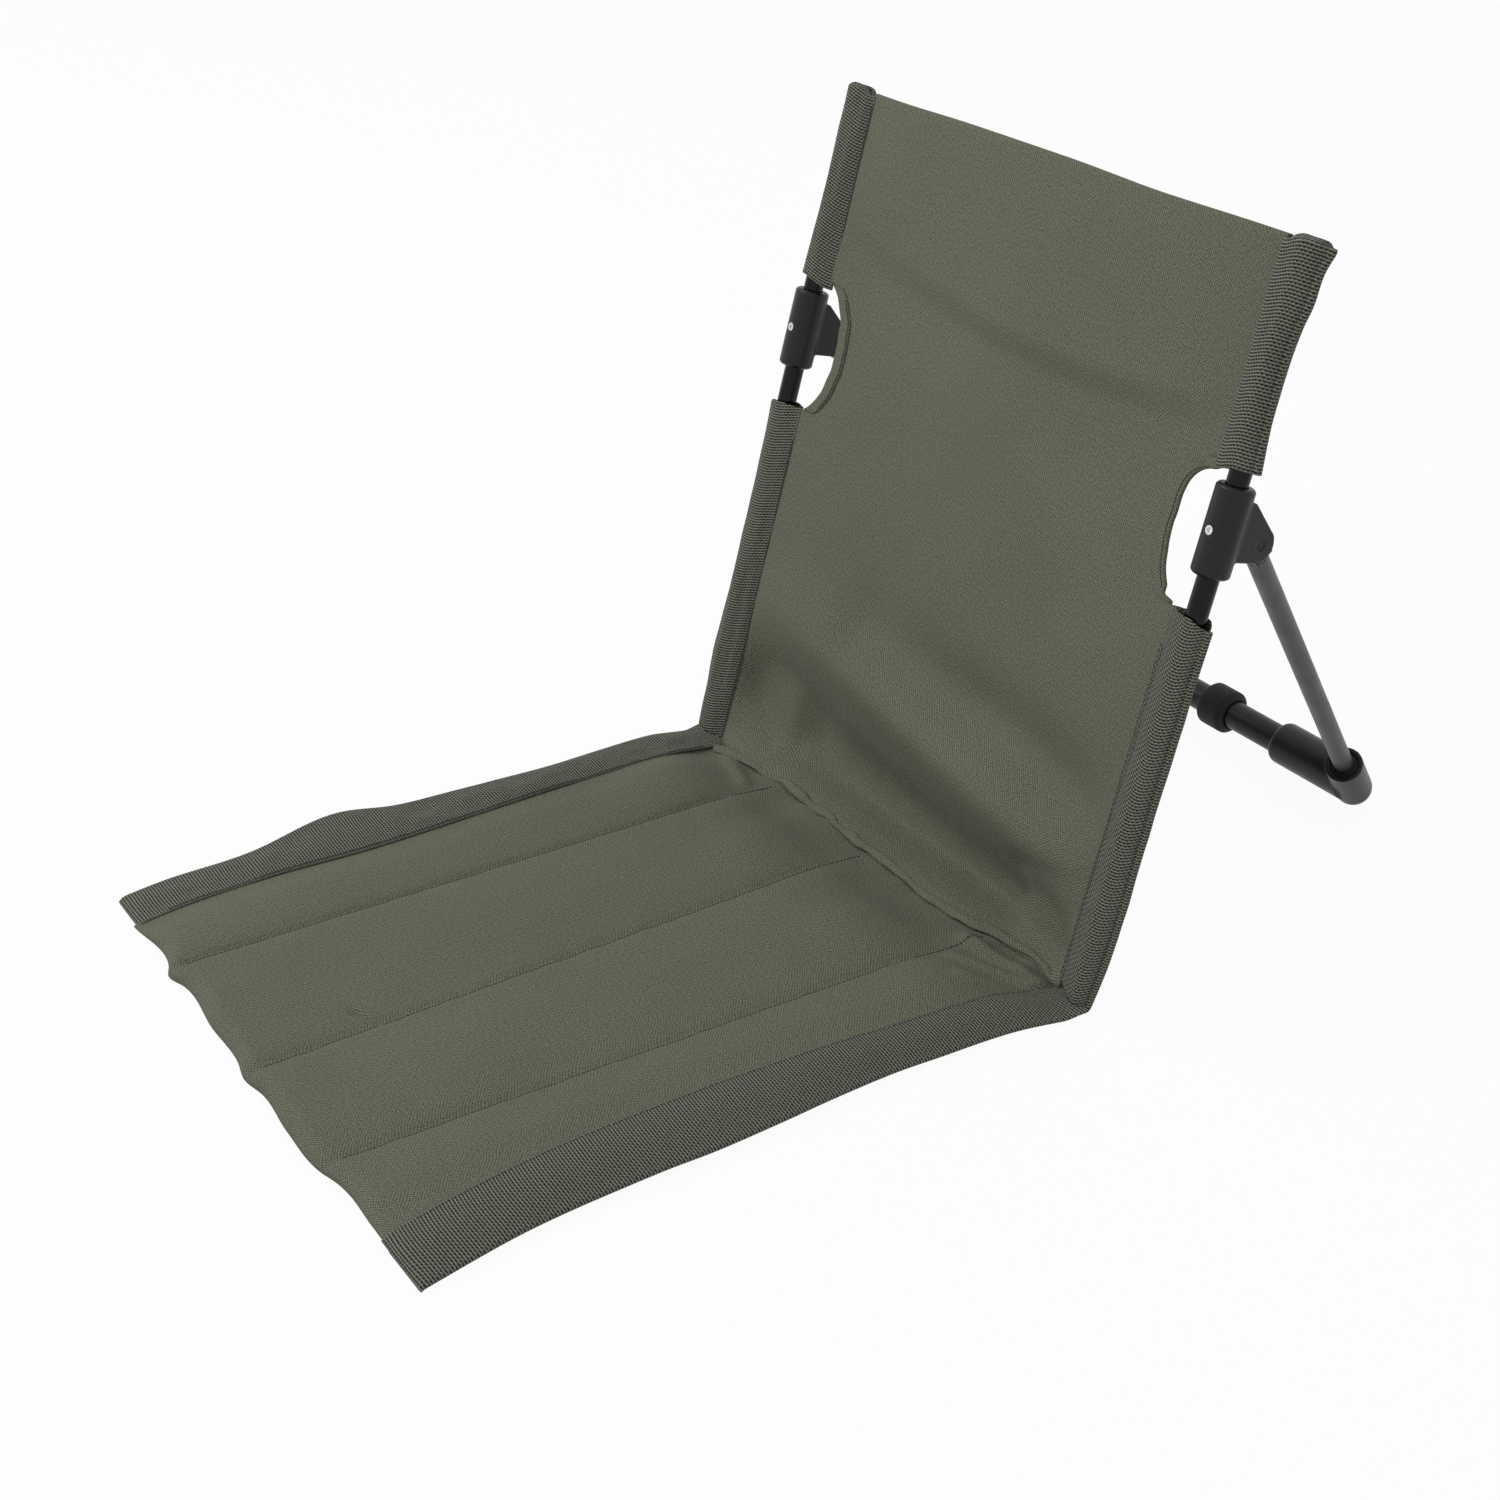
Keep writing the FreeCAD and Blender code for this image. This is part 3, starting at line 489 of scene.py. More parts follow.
def oxford_cloth(look):
    """Polyester oxford, woven in a fine check: dull, with a slight sheen and a grainy face.

    Real threads are about 0.6 mm apart, too fine to show, so they are drawn coarser. They drift in
    waves of about 11 mm, the fuzz on them has grains of 1.4 mm and the tone patches of 140 mm.
    """
    material, tree = new_material("olive_oxford_cloth")
    flat = add_node(tree, "ShaderNodeUVMap", uv_map="weave")
    drift = add_node(tree, "ShaderNodeTexNoise", {"Vector": flat, "Scale": 90.0, "Detail": 1.0})
    uneven = add_node(tree, "ShaderNodeVectorMath", {
        0: drift.outputs["Color"], 1: (3 * MM, 3 * MM, 0), 2: flat}, operation="MULTIPLY_ADD")
    axes = add_node(tree, "ShaderNodeSeparateXYZ", {0: uneven})
    warp = thread_wave(tree, axes.outputs[0], look.thread_pitch)
    weft = thread_wave(tree, axes.outputs[1], look.thread_pitch)
    check = add_node(tree, "ShaderNodeMath", {0: warp, 1: weft}, operation="MULTIPLY")
    place = add_node(tree, "ShaderNodeTexCoord").outputs["Object"]
    fuzz = add_node(tree, "ShaderNodeTexNoise", {"Vector": flat, "Scale": 700.0, "Detail": 3.0})
    tone = add_node(tree, "ShaderNodeTexNoise", {"Vector": place, "Scale": 7.0, "Detail": 2.0})
    grain = add_node(tree, "ShaderNodeMath", {0: check, 1: 0.4, 2: fuzz}, operation="MULTIPLY_ADD")
    share = add_node(tree, "ShaderNodeMapRange", {0: grain, 1: 0.05, 2: 0.95, 3: 0.0, 4: 1.0})
    threads = add_node(tree, "ShaderNodeMix", {
        "Factor": share, 6: linear(look.cloth_shade), 7: linear(look.cloth_colour)}, data_type="RGBA")
    level = add_node(tree, "ShaderNodeMapRange", {0: tone, 1: 0.3, 2: 0.7, 3: 0.96, 4: 1.05})
    colour = add_node(tree, "ShaderNodeVectorMath", {
        0: threads.outputs[2], "Scale": level}, operation="SCALE")
    finish_material(tree, colour, (grain, 0.5, 0.3 * MM), (fuzz, 0.3, 0.7, 0.78, 0.92), WOVEN)
    return material


def ribbed_webbing(look):
    """Woven polyester webbing: cross ribs of light beads with dark gaps, and a smooth selvedge.

    The map runs across the webbing first and along it second, and starts at the sewn edge.
    """
    material, tree = new_material("olive_ribbed_webbing")
    flat = add_node(tree, "ShaderNodeUVMap", uv_map="weave")
    axes = add_node(tree, "ShaderNodeSeparateXYZ", {0: flat})
    rib = thread_wave(tree, axes.outputs[1], look.rib_pitch)
    bead = thread_wave(tree, axes.outputs[0], look.bead_pitch)
    offset = thread_wave(tree, axes.outputs[1], look.rib_pitch * 2)
    beads = add_node(tree, "ShaderNodeMath", {0: bead, 1: offset}, operation="MULTIPLY")
    woven = add_node(tree, "ShaderNodeMath", {0: beads, 1: 0.6, 2: rib}, operation="MULTIPLY_ADD")
    edge = add_node(tree, "ShaderNodeMapRange", {
        0: axes.outputs[0], 1: look.selvedge * 0.8, 2: look.selvedge, 3: 0.3, 4: 1.0})
    calmed = add_node(tree, "ShaderNodeMath", {0: woven, 1: edge}, operation="MULTIPLY")
    fuzz = add_node(tree, "ShaderNodeTexNoise", {"Vector": flat, "Scale": 1 / (2 * MM), "Detail": 3.0})
    grain = add_node(tree, "ShaderNodeMath", {0: fuzz, 1: 1.2, 2: calmed}, operation="MULTIPLY_ADD")
    share = add_node(tree, "ShaderNodeMapRange", {0: grain, 1: -0.5, 2: 1.7, 3: 0.0, 4: 1.0})
    colour = add_node(tree, "ShaderNodeMix", {
        "Factor": share, 6: linear(look.webbing_shade), 7: linear(look.webbing_colour)}, data_type="RGBA")
    finish_material(tree, colour.outputs[2], (grain, 0.8, 0.5 * MM), (fuzz, 0.3, 0.7, 0.75, 0.9), WOVEN)
    return material


def thread_and_seam_shade(look):
    """Bonded polyester thread: darker than the cloth, with a twist of 0.7 mm and a faint shine. It also
    colours the unbroken cords that are painted shade along the seams.
    """
    material, tree = new_material("dark_thread_and_seam_shade")
    place = add_node(tree, "ShaderNodeTexCoord").outputs["Object"]
    twist = add_node(tree, "ShaderNodeTexNoise", {"Vector": place, "Scale": 1500.0})
    finish_material(tree, linear(look.thread_and_shade_colour), (twist, 0.4, 0.1 * MM), (twist, 0.3, 0.7, 0.5, 0.75))
    return material


def grained(name, colour, grain, depth, smooth, dull, metallic=0.0, shine=0.5, stretch=(1, 1, 1)):
    """A painted, moulded or plated surface with a fine grain of a real size in its gloss and relief."""
    material, tree = new_material(name)
    place = add_node(tree, "ShaderNodeTexCoord").outputs["Object"]
    turned = add_node(tree, "ShaderNodeMapping", {0: place, "Scale": stretch})
    fine = add_node(tree, "ShaderNodeTexNoise", {"Vector": turned, "Scale": 1 / grain, "Detail": 3.0})
    broad = add_node(tree, "ShaderNodeTexNoise", {"Vector": place, "Scale": 1 / (25 * MM)})
    mixed = add_node(tree, "ShaderNodeMath", {0: fine, 1: broad}, operation="ADD")
    base = linear(colour)
    shade = tuple(channel * 0.85 for channel in base[:3]) + (1,)
    tint = add_node(tree, "ShaderNodeMix", {"Factor": fine, 6: shade, 7: base}, data_type="RGBA")
    finish_material(tree, tint.outputs[2], (fine, 0.25, depth), (mixed, 0.7, 1.3, smooth, dull),
                    {"Metallic": metallic, "Specular IOR Level": shine})
    return material


def gloss_paint(look):
    """Gloss black paint on steel tube: deep black with sharp reflections and a faint orange peel."""
    return grained("gloss_black_paint", look.pole_colour, 1.5 * MM, 0.02 * MM, 0.1, 0.16, shine=0.2)


def satin_paint(look):
    """Satin black paint on tube: a soft wide streak along the top."""
    return grained("satin_black_paint", look.bar_colour, 0.8 * MM, 0.03 * MM, 0.3, 0.42, shine=0.25)


def anodised_tube(look):
    """Grey anodised aluminium: a satin metal, with fine lines along the drawn tube."""
    return grained("grey_anodised_aluminium", look.leg_colour, 0.5 * MM, 0.02 * MM, 0.36, 0.5,
                   metallic=0.75, stretch=(1, 0.2, 0.2))


def moulded_nylon(look):
    """Glass filled nylon from a spark-eroded mould: near black, satin, with a fine even grain."""
    return grained("black_moulded_nylon", look.nylon_colour, 0.5 * MM, 0.06 * MM, 0.32, 0.44, shine=0.3)


def black_rubber(look):
    """Moulded rubber: matt black, almost no shine."""
    return grained("black_moulded_rubber", look.rubber_colour, 0.6 * MM, 0.06 * MM, 0.6, 0.8, shine=0.3)


def plated_steel(look):
    """Zinc plated steel: bright, lightly clouded."""
    return grained("zinc_plated_steel", look.steel_colour, 0.4 * MM, 0.01 * MM, 0.18, 0.3, metallic=1.0)


def blackened_steel(look):
    """Blackened steel: as dark as the nylon round it, a little shinier."""
    return grained("blackened_steel", look.nylon_colour, 0.4 * MM, 0.01 * MM, 0.3, 0.42, metallic=0.5)


def seen_directly(tree):
    """1 for what the camera sees itself, in a reflection or through glass, and 0 for light that it gives."""
    ray = add_node(tree, "ShaderNodeLightPath")
    direct = add_node(tree, "ShaderNodeMath", {
        0: ray.outputs["Is Camera Ray"], 1: ray.outputs["Is Glossy Ray"]}, operation="MAXIMUM")
    return add_node(tree, "ShaderNodeMath", {
        0: direct, 1: ray.outputs["Is Transmission Ray"]}, operation="MAXIMUM")


def pale_floor():
    """A white studio floor that keeps the chair's shadow and stays white to the camera."""
    material, tree = new_material("white_studio_floor")
    grain = add_node(tree, "ShaderNodeTexNoise", {"Scale": 3.0})
    level = add_node(tree, "ShaderNodeMapRange", {0: grain, 1: 0.3, 2: 0.7, 3: 0.78, 4: 0.8})
    matt = add_node(tree, "ShaderNodeBsdfDiffuse", {"Color": level})
    white = add_node(tree, "ShaderNodeEmission", {"Color": (1, 1, 1, 1), "Strength": 1.0})
    share = add_node(tree, "ShaderNodeMath", {0: seen_directly(tree), 1: 0.95}, operation="MULTIPLY")
    mixed = add_node(tree, "ShaderNodeMixShader", {0: share, 1: matt, 2: white})
    add_node(tree, "ShaderNodeOutputMaterial", {"Surface": mixed})
    return material


def shared(maker, *settings):
    """The material of a maker, made once."""
    if maker not in shared.made:
        shared.made[maker] = maker(*settings)
    return shared.made[maker]


shared.made = {}


# Back cloth


def cutout_edge(along, depth, side):
    """Half width of the back cloth at a height, cut in round the hub.

    The left cut-out is shorter and squarer at its top, and has a square corner below.
    """
    middle = (MOUTH_LOW + MOUTH_HIGH) / 2
    left_top = (along > middle) & (side > 0)
    left_foot = (along < middle) & (side > 0)
    half = (MOUTH_HIGH - MOUTH_LOW) / 2 + np.where(left_top, -6 * MM, 1 * MM)
    squareness = np.where(left_top, 4.5, 2.4)
    share = np.clip(np.abs(along - middle) / half, 0, 1)
    inside = share < 1
    bite = depth * (1 - share ** squareness) ** 0.62
    corner = 13 * MM * left_foot * ease(MOUTH_LOW, MOUTH_LOW + 3 * MM, along)
    ragged = 0.7 * MM * soft_noise(along, side * 5 * MM, 8 * MM, 31)
    seam_overlap = 1.5 * MM
    return SLEEVE_SEAM + seam_overlap - np.maximum(bite, corner * inside) + ragged * inside


def doubled_line(x):
    """Height of the hem behind the back, where its doubled top ends."""
    middle, slope, bow = 323 * MM, 7 * MM, 7 * MM
    across = x / (170 * MM)
    return middle + slope * across + bow * across ** 2


def pulled_line(x):
    """Height of the fold across the back, under its doubled top."""
    lowest, lowest_x, bow = 326 * MM, 32 * MM, 12 * MM
    return lowest + bow * ((x - lowest_x) / (140 * MM)) ** 2


def crease_line(x):
    """How far the seam at the crease lies behind the crease's straight line."""
    places = np.array([-182, -140, -108, 0, 98, 126, 150, 182]) * MM
    return through(x, places, np.array([-9, -5, 0, -3, -1, 5, 8, 2]) * MM)


def back_relief(x, along, look):
    """How far the back cloth lies behind the pole axes: sag, folds and the doubled top.

    Near the sides it stays ahead of the prop legs, which fold flat behind it.
    """
    across = x / SLEEVE_SEAM
    sideways = np.clip(np.abs(across), 0, 1)
    free = 1 - sideways ** 4
    edged = 1 - sideways ** 8
    bow = look.sag * (1 - across ** 2) * (0.35 + 0.65 * ease(0, 200 * MM, along))
    steep = crease(x, along, (-190, 52), (-78, 22), 31, 23)
    level = crease(x, along, (-78, 22), (195, 6), 31, 23)
    deep = DEEP_FOLD * np.maximum(steep, level)
    belly = BELLY * crease(x, along, (-170, 112), (190, 64), 30, 22)
    second = SECOND_FOLD * crease(x, along, (-70, 122), (190, 100), 26, 21)
    second = second * (0.5 + 0.5 * ease(-60 * MM, 60 * MM, x))
    short = 3.5 * MM * crease(x, along, (118, 48), (185, 64), 8)
    line = pulled_line(x)
    padded = PADDED_TOP * ease(line - 2 * MM, line + 20 * MM, along)
    wavy = 1.1 * MM * soft_noise(x, along * 1.6, 80 * MM, 11) + 0.3 * MM * soft_noise(x, along, 26 * MM, 12)
    low = np.exp(-np.maximum(along, 0) / (18 * MM))
    crumple = 3.2 * MM * soft_noise(x, along * 0.6, 12 * MM, 13) * low
    creased = creases(x, along, CREASE_WRINKLES)
    behind = bow + edged * deep + free * (second + short + wavy + crumple + creased - belly - padded)
    room = (16 + 16 * (1 - ease(105 * MM, 135 * MM, np.abs(x)))) * MM
    pressed = np.maximum(behind, 0) / (1 + (np.maximum(behind, 0) / room) ** 6) ** (1 / 6)
    return np.minimum(behind, 0) + pressed


def back_cloth_grid(look):
    """The back cloth as one strip: up the front, over the top and down behind to its hem."""
    across = np.linspace(-1, 1, 139)[None, :]
    front = np.linspace(0, 1, 160)[:, None]
    turn = np.linspace(0, math.pi, 9)[1:-1, None]
    rear = np.linspace(0, 1, 44)[:, None]
    bottom, fold, hem_gap, off_floor = -4 * MM, 2 * MM, 1.4 * MM, 0.8 * MM
    top = POLE_TOP + 0.7 * MM * soft_noise(across, 0, 0.45, 21)
    hem = doubled_line(across * SLEEVE_SEAM) + 2 * MM
    rows = [bottom + front * (top - bottom), top + fold * np.sin(turn), top - rear * (top - hem)]
    along = np.concatenate([np.broadcast_to(row, (row.shape[0], across.shape[1])) for row in rows])
    gap = np.concatenate([front * 0, fold * (1 - np.cos(turn)), 2 * fold - rear * (2 * fold - hem_gap)])
    x = across * cutout_edge(along, look.cutout_depth, np.sign(across))
    relief = back_relief(x, np.minimum(along, top), look) + gap
    foot = (crease_line(x) - 2 * MM) * (1 - np.clip(np.abs(x) / SLEEVE_SEAM, 0, 1) ** 12)
    behind = foot + (relief - foot) * ease(bottom, 13 * MM, along)
    points = back_points(x, behind, along)
    points[..., 2] = np.maximum(points[..., 2], off_floor)
    return points, x, len(front) - 1


class CHAIR_OT_back_cloth(bpy.types.Operator):
    """Hang the oxford cloth between the poles, doubled over at the top."""

    bl_idname = "chair.back_cloth"
    bl_label = "Back cloth"

    def execute(self, context):
        look = context.scene.chair_cloth
        cloth = shared(oxford_cloth, look)
        points, x, top_row = back_cloth_grid(look)
        lengths = arc_lengths(points[..., 1:], 0)
        flat = np.stack([x, lengths - lengths[top_row]], axis=-1)
        sheet = grid_object("back_cloth", points, flat)
        thicken(sheet, look.cloth_thickness, 0)
        paint(sheet, cloth)
        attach(sheet, "back")
        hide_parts("back_panel", "rear_flap")
        for name, side in SIDES:
            self.binding(name, side, look)
        self.seam_roll(cloth)
        reach = SLEEVE_SEAM - 4 * MM
        x = np.linspace(-reach, reach, 300)
        along = doubled_line(x) + 6 * MM
        path = back_points(x, back_relief(x, along, look) + 2.3 * MM, along)
        row = stitches("doubled_top_stitching", path, -FACING, look)
        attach(row, "back")
        return {"FINISHED"}

    def binding(self, name, side, look):
        """A narrow cloth binding folded over the edge of a cut-out, with its sewn line drawn as an unbroken
        dark cord, which is also painted shade along the fold.
        """
        hem, clear, end_gap = 9 * MM, 1.1 * MM, 0.5 * MM
        along = np.linspace(MOUTH_LOW + end_gap, MOUTH_HIGH - end_gap, 90)[:, None]
        front = np.linspace(hem, 0, 7)
        turn = np.linspace(0, math.pi, 7)[1:-1]
        inward = np.concatenate([front, -clear * np.sin(turn), front[::-1]])
        lift = np.concatenate([front * 0 - clear, -clear * np.cos(turn), front * 0 + clear])
        x = side * (cutout_edge(along, look.cutout_depth, side) - inward)
        points = back_points(x, back_relief(x, along, look) + lift, along)
        flat = flat_cut(points)
        strip = grid_object(f"{name}_cutout_binding", points, flat)
        thicken(strip, 0.7 * MM, 0)
        paint(strip, shared(oxford_cloth, look))
        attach(strip, "back")
        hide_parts(f"{name}_cutout_facing")
        # The sewn line is an unbroken dark cord: the thread and painted shade of the binding's edge
        column, radius = {"left": (5, 0.32 * MM), "right": (1, 0.42 * MM)}[name]
        sewn = points[4:-4, column] + FACING * 0.5 * MM
        row = stitches(f"{name}_cutout_stitching_and_shade", sewn, FACING, look, SEAM_SHADE_CORD, radius)
        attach(row, "back")

    def seam_roll(self, cloth):
        """The flat seam along the crease, where the back meets the seat. Its ends lie lower."""
        reach = SLEEVE_SEAM + 6 * MM
        x = np.linspace(-reach, reach, 260)[:, None]
        turn = np.linspace(0, 2 * math.pi, 13)[:-1]
        wide = 2.4 * MM * (1 + 0.4 * soft_noise(x, 0, 12 * MM, 91))
        thick = 1.1 * MM * (1 + 0.3 * soft_noise(x, 0, 9 * MM, 94))
        sway = 1.7 * MM * soft_noise(x, 0, 13 * MM, 92)
        lift = 1.1 * MM * soft_noise(x, 0, 17 * MM, 93) - 3.6 * MM * ease(166 * MM, SLEEVE_SEAM, np.abs(x))
        y = CREASE_Y - 2.5 * MM + crease_line(x) + sway + wide * np.cos(turn)
        z = 6.2 * MM + lift + thick * np.sin(turn) + 0.5 * wide * np.cos(turn)
        points = grid_points(x, y, z)
        roll = grid_object("crease_seam", points, flat_cut(points, wrap=True), wrap=True)
        paint(roll, cloth)
        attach(roll, "back")


class CHAIR_OT_pole_sleeves(bpy.types.Operator):
    """Sew the ribbed webbing sleeves round the poles, above and below the hubs."""

    bl_idname = "chair.pole_sleeves"
    bl_label = "Pole sleeves"

    def execute(self, context):
        look = context.scene.chair_cloth
        foot, head = -4.4 * MM, POLE_TOP + 4.8 * MM
        for name, side in SIDES:
            self.sleeve(f"{name}_lower", side, foot, MOUTH_LOW, look)
            self.sleeve(f"{name}_upper", side, MOUTH_HIGH, head, look)
        return {"FINISHED"}

    def section(self, reach_in, reach_out, height):
        """One loop of webbing: lateral place and height above the pole's plane.

        It rises from the sewn inner edge over the pole, dips at the outer sewn line and ends in a lip.
        """
        share = np.linspace(-1, 1, 41)
        lateral = np.where(share < 0, share * reach_in, share * reach_out)
        lip = 0.75 * MM
        sewn = np.cos(np.minimum(share, 0) * math.pi / 2) ** 1.1
        over = lip + (height - lip) * sewn * np.maximum(1 - np.maximum(share / 0.8, 0) ** 2.4, 0) ** 0.75
        edge = lip + 1.2 * MM * np.sqrt(np.maximum(1 - ((share - 0.88) / 0.12) ** 2, 0))
        bulge = np.maximum(over, edge)
        return (np.concatenate([lateral, lateral[-2:0:-1]], axis=-1),
                np.concatenate([-bulge, bulge[-2:0:-1]], axis=-1))

    def sleeve(self, name, side, low, high, look):
        """A flat tube of webbing, open at the hub and closed at its far end."""
        upper = name.endswith("upper")
        along = np.linspace(low, high, max(24, int((high - low) / (3 * MM))))
        if upper:
            along = np.concatenate([along[:-1], np.linspace(along[-2], high, 9)[1:]])
            full = rounded_end(high - along, 3.2 * MM)
        else:
            along = np.concatenate([np.linspace(low, along[1], 9)[:-1], along[1:]])
            full = rounded_end(along - low, 4 * MM)
        stations, reach = np.array(SLEEVE_REACH[name]).T * MM
        reach_in, over_pole, flattest = 18.6 * MM, 8.3 * MM, 0.12
        rows = []
        for place, room in zip(along, np.maximum(full, flattest)):
            wave = 0.5 * MM * soft_noise(place, side * 0.4, 30 * MM, 41)
            reach_out = through(place, stations, reach) + wave
            lateral, height = self.section(reach_in + wave * 0.4, reach_out, over_pole)
            height = height * room + 0.4 * MM * soft_noise(lateral, place, 14 * MM, 42)
            height = height + 0.8 * MM * soft_noise(lateral, place * 0.09, 4.5 * MM, 43)
            if upper:
                near_top = ease(high - 26 * MM, high, place)
                near_mouth = 1 - ease(low, low + 26 * MM, place)
                slant = 5 * MM * ease(4 * MM, -17 * MM, lateral) * near_mouth
            else:
                near_top = 0.0
                near_mouth = ease(high - 22 * MM, high, place)
                near_foot = 1 - ease(low, low + 30 * MM, place)
                slant = 4 * MM * ease(2 * MM, 14 * MM, lateral) * near_mouth
                slant = slant - 7 * MM * (side > 0) * ease(6 * MM, -17 * MM, lateral) * near_foot
            curl = 3.5 * MM * ease(5 * MM, 20 * MM, lateral) * near_top
            drawn_in = ease(-6 * MM, -15 * MM, lateral) + 0.6 * ease(7 * MM, 14 * MM, lateral)
            dip = 4.5 * MM * drawn_in * near_top
            rows.append(back_points(side * (POLE_X + lateral), height + curl, place - dip - slant))
        points = np.array(rows)
        points[..., 2] = np.maximum(points[..., 2], 0.5 * MM)
        flat = flat_cut(points, wrap=True)
        tube = grid_object(f"{name}_webbing_sleeve", points, flat, wrap=True)
        thicken(weld(tube, 0.05 * MM), look.webbing_thickness, -1)
        paint(tube, shared(ribbed_webbing, look))
        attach(tube, "back")
        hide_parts(f"{name}_sleeve")
        # Rows drawn as an unbroken dark cord are painted shade at the webbing's sewn edge, together with its
        # thread
        thin, thick = (0.72, 0.3 * MM), (SEAM_SHADE_CORD, 0.45 * MM)
        seams = [("seam", 1, thick), ("edge", 35, thin)]
        if name == "left_lower":
            seams = [("seam", 1, thin), ("second_seam", 5, thin), ("edge", 35, thin)]
        for seam, column, (cover, radius) in seams:
            path = points[6:-6, column] + FACING * 0.2 * MM
            row = stitches(f"{name}_sleeve_{seam}", path, FACING, look, cover, radius)
            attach(row, "back")


# Seat


def fold_at_crease(item):
    """Bake a seat piece's placement into its mesh."""
    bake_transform(item)


def settled(y):
    """How much of its height the seat keeps towards the crease, where it is pressed flat."""
    return 0.36 + 0.64 * ease(-4 * MM, 50 * MM, CREASE_Y - y)


def quilt_grid(seat):
    """The quilt's top: four channels between the bindings, from the front edge to under the crease."""
    channels, steps = len(QUILT_LINES) + 1, 38
    share = np.append(np.tile(np.arange(steps) / steps, channels), 1.0)[None, :]
    channel = np.append(np.repeat(np.arange(channels), steps), channels - 1)
    pinched = 4 * share * (1 - share)
    spot = channel[None, :] + share
    bounds = np.arange(channels + 1)
    front_lines = [-186 * MM, *[front for front, _ in QUILT_LINES], 167 * MM]
    rear_lines = [-SLEEVE_SEAM, *[rear for _, rear in QUILT_LINES], SLEEVE_SEAM]
    places, setbacks = np.array(FRONT_EDGE).T * MM
    front = SEAT_FRONT + through(np.interp(spot, bounds, front_lines), places, setbacks)
    front = front + 0.5 * MM * soft_noise(spot, 0, 0.5, 54)
    rear = CREASE_Y + 5 * MM + crease_line(np.interp(spot, bounds, rear_lines))
    y = front + (np.linspace(0, 1, 190) ** 1.12)[:, None] * (rear - front)
    ahead = CREASE_Y - y

    lay = (y - SEAT_FRONT) / SEAT_LENGTH
    right_seam, right_height, _, _ = soft_edge("right", y)
    left_seam, left_height, _, _ = soft_edge("left", y)
    tuck, sunk = 4 * MM, 0.6 * MM
    sewn_lines = [at_front + (at_rear - at_front) * lay for at_front, at_rear in QUILT_LINES]
    sewn_heights = [np.full_like(y, seat.stitch_height) for _ in QUILT_LINES]
    lines = np.array([-right_seam - tuck, *sewn_lines, left_seam + tuck])
    heights = np.array([right_height - sunk, *sewn_heights, left_height - sunk])
    each = np.arange(share.shape[1])
    low_line, high_line = lines[channel, :, each].T, lines[channel + 1, :, each].T
    low_height, high_height = heights[channel, :, each].T, heights[channel + 1, :, each].T
    x = low_line + (high_line - low_line) * share
    even = low_height + (high_height - low_height) * ease(0, 1, share)

    side = np.minimum(x - lines[0], lines[-1] - x)
    sewn = np.min(np.abs(x[None] - lines[1:-1]), axis=0)
    crown = (seat.crown - seat.stitch_height) * pinched ** 0.8 * ease(0, 30 * MM, side)
    pinch = 1.1 * MM * np.exp(-(sewn / (2 * MM)) ** 2)
    pucker = 0.55 * MM * soft_noise(y, x * 0.15, 7 * MM, 51) * np.exp(-sewn / (8 * MM))
    broad = 0.8 * MM * soft_noise(x, y, 60 * MM, 52) + 0.3 * MM * soft_noise(x, y, 24 * MM, 53)
    calm = ease(0, 12 * MM, sewn) * ease(3 * MM, 20 * MM, side)
    swell = 4.5 * MM * np.exp(-((ahead - 68 * MM) / (29 * MM)) ** 2) * pinched
    slump = 4.5 * MM * np.exp(-((ahead - 20 * MM) / (24 * MM)) ** 2) * pinched ** 0.5
    hollows = creases(x, ahead, QUILT_HOLLOWS)
    height = even + crown + swell + pucker + broad * calm - pinch - slump - hollows
    crumple = 1.5 * MM * soft_noise(x, ahead * 0.5, 12 * MM, 55) * np.exp(-np.abs(ahead) / (22 * MM))
    folds = crumple + creases(x, ahead, CORNER_FOLDS)
    floor, thinnest = 1.5 * MM, 0.6 * MM
    z = floor + np.maximum(height * settled(y) - floor, thinnest) * rounded_end(y - front, 10 * MM)
    z = np.maximum(z + folds * ease(2 * MM, 9 * MM, side), floor)
    return np.stack([x, y, z], axis=-1), steps


class CHAIR_OT_seat_quilt(bpy.types.Operator):
    """Make the padded seat: four sewn channels over a flat base cloth."""

    bl_idname = "chair.seat_quilt"
    bl_label = "Seat quilt"

    def execute(self, context):
        look = context.scene.chair_cloth
        cloth = shared(oxford_cloth, look)
        top, steps = quilt_grid(context.scene.chair_seat)
        under = top.copy()
        under[1:-1, 1:-1, 2] = 1.1 * MM
        flat = np.stack([top[..., 0], arc_lengths(top, 0)], axis=-1)
        upper = grid_object("seat_quilt", top, flat)
        lower = grid_object("seat_quilt_under", under, flat)
        context.view_layer.objects.active = upper
        with context.temp_override(active_object=upper, selected_editable_objects=[upper, lower]):
            bpy.ops.object.join()
        weld(upper, 0.02 * MM)
        paint(upper, cloth)
        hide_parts("seat_top_cloth", *[f"seat_foam_{number}" for number in (1, 2, 3, 4)])
        fold_at_crease(upper)
        self.base(cloth)
        for number in range(1, len(QUILT_LINES) + 1):
            path = top[6:-4, number * steps] + UP * 0.12 * MM
            row = stitches(f"quilt_stitching_{number}", path, UP, look, 0.85, 0.36 * MM)
            fold_at_crease(row)
        return {"FINISHED"}

    def base(self, cloth):
        """The flat sheet under the quilt, its sides tucked into the bands."""
        y = np.linspace(SEAT_FRONT + 9 * MM, SEAT_REAR - 4 * MM, 90)[:, None]
        hem = 11 * MM
        right = -soft_edge("right", y)[0] - hem
        left = soft_edge("left", y)[0] + hem
        x = right + (left - right) * np.linspace(0, 1, 60)
        tucked = np.zeros_like(x)
        tucked[:, [0, -1]] = 0.5 * MM
        z = 0.55 * MM + tucked + 0.08 * MM * soft_noise(x, y, 40 * MM, 61)
        points = grid_points(x, y, z)
        sheet = grid_object("seat_base_sheet", points, points[..., :2].copy())
        thicken(sheet, 0.6 * MM, 0)
        paint(sheet, cloth)
        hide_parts("seat_base_cloth")
        fold_at_crease(sheet)


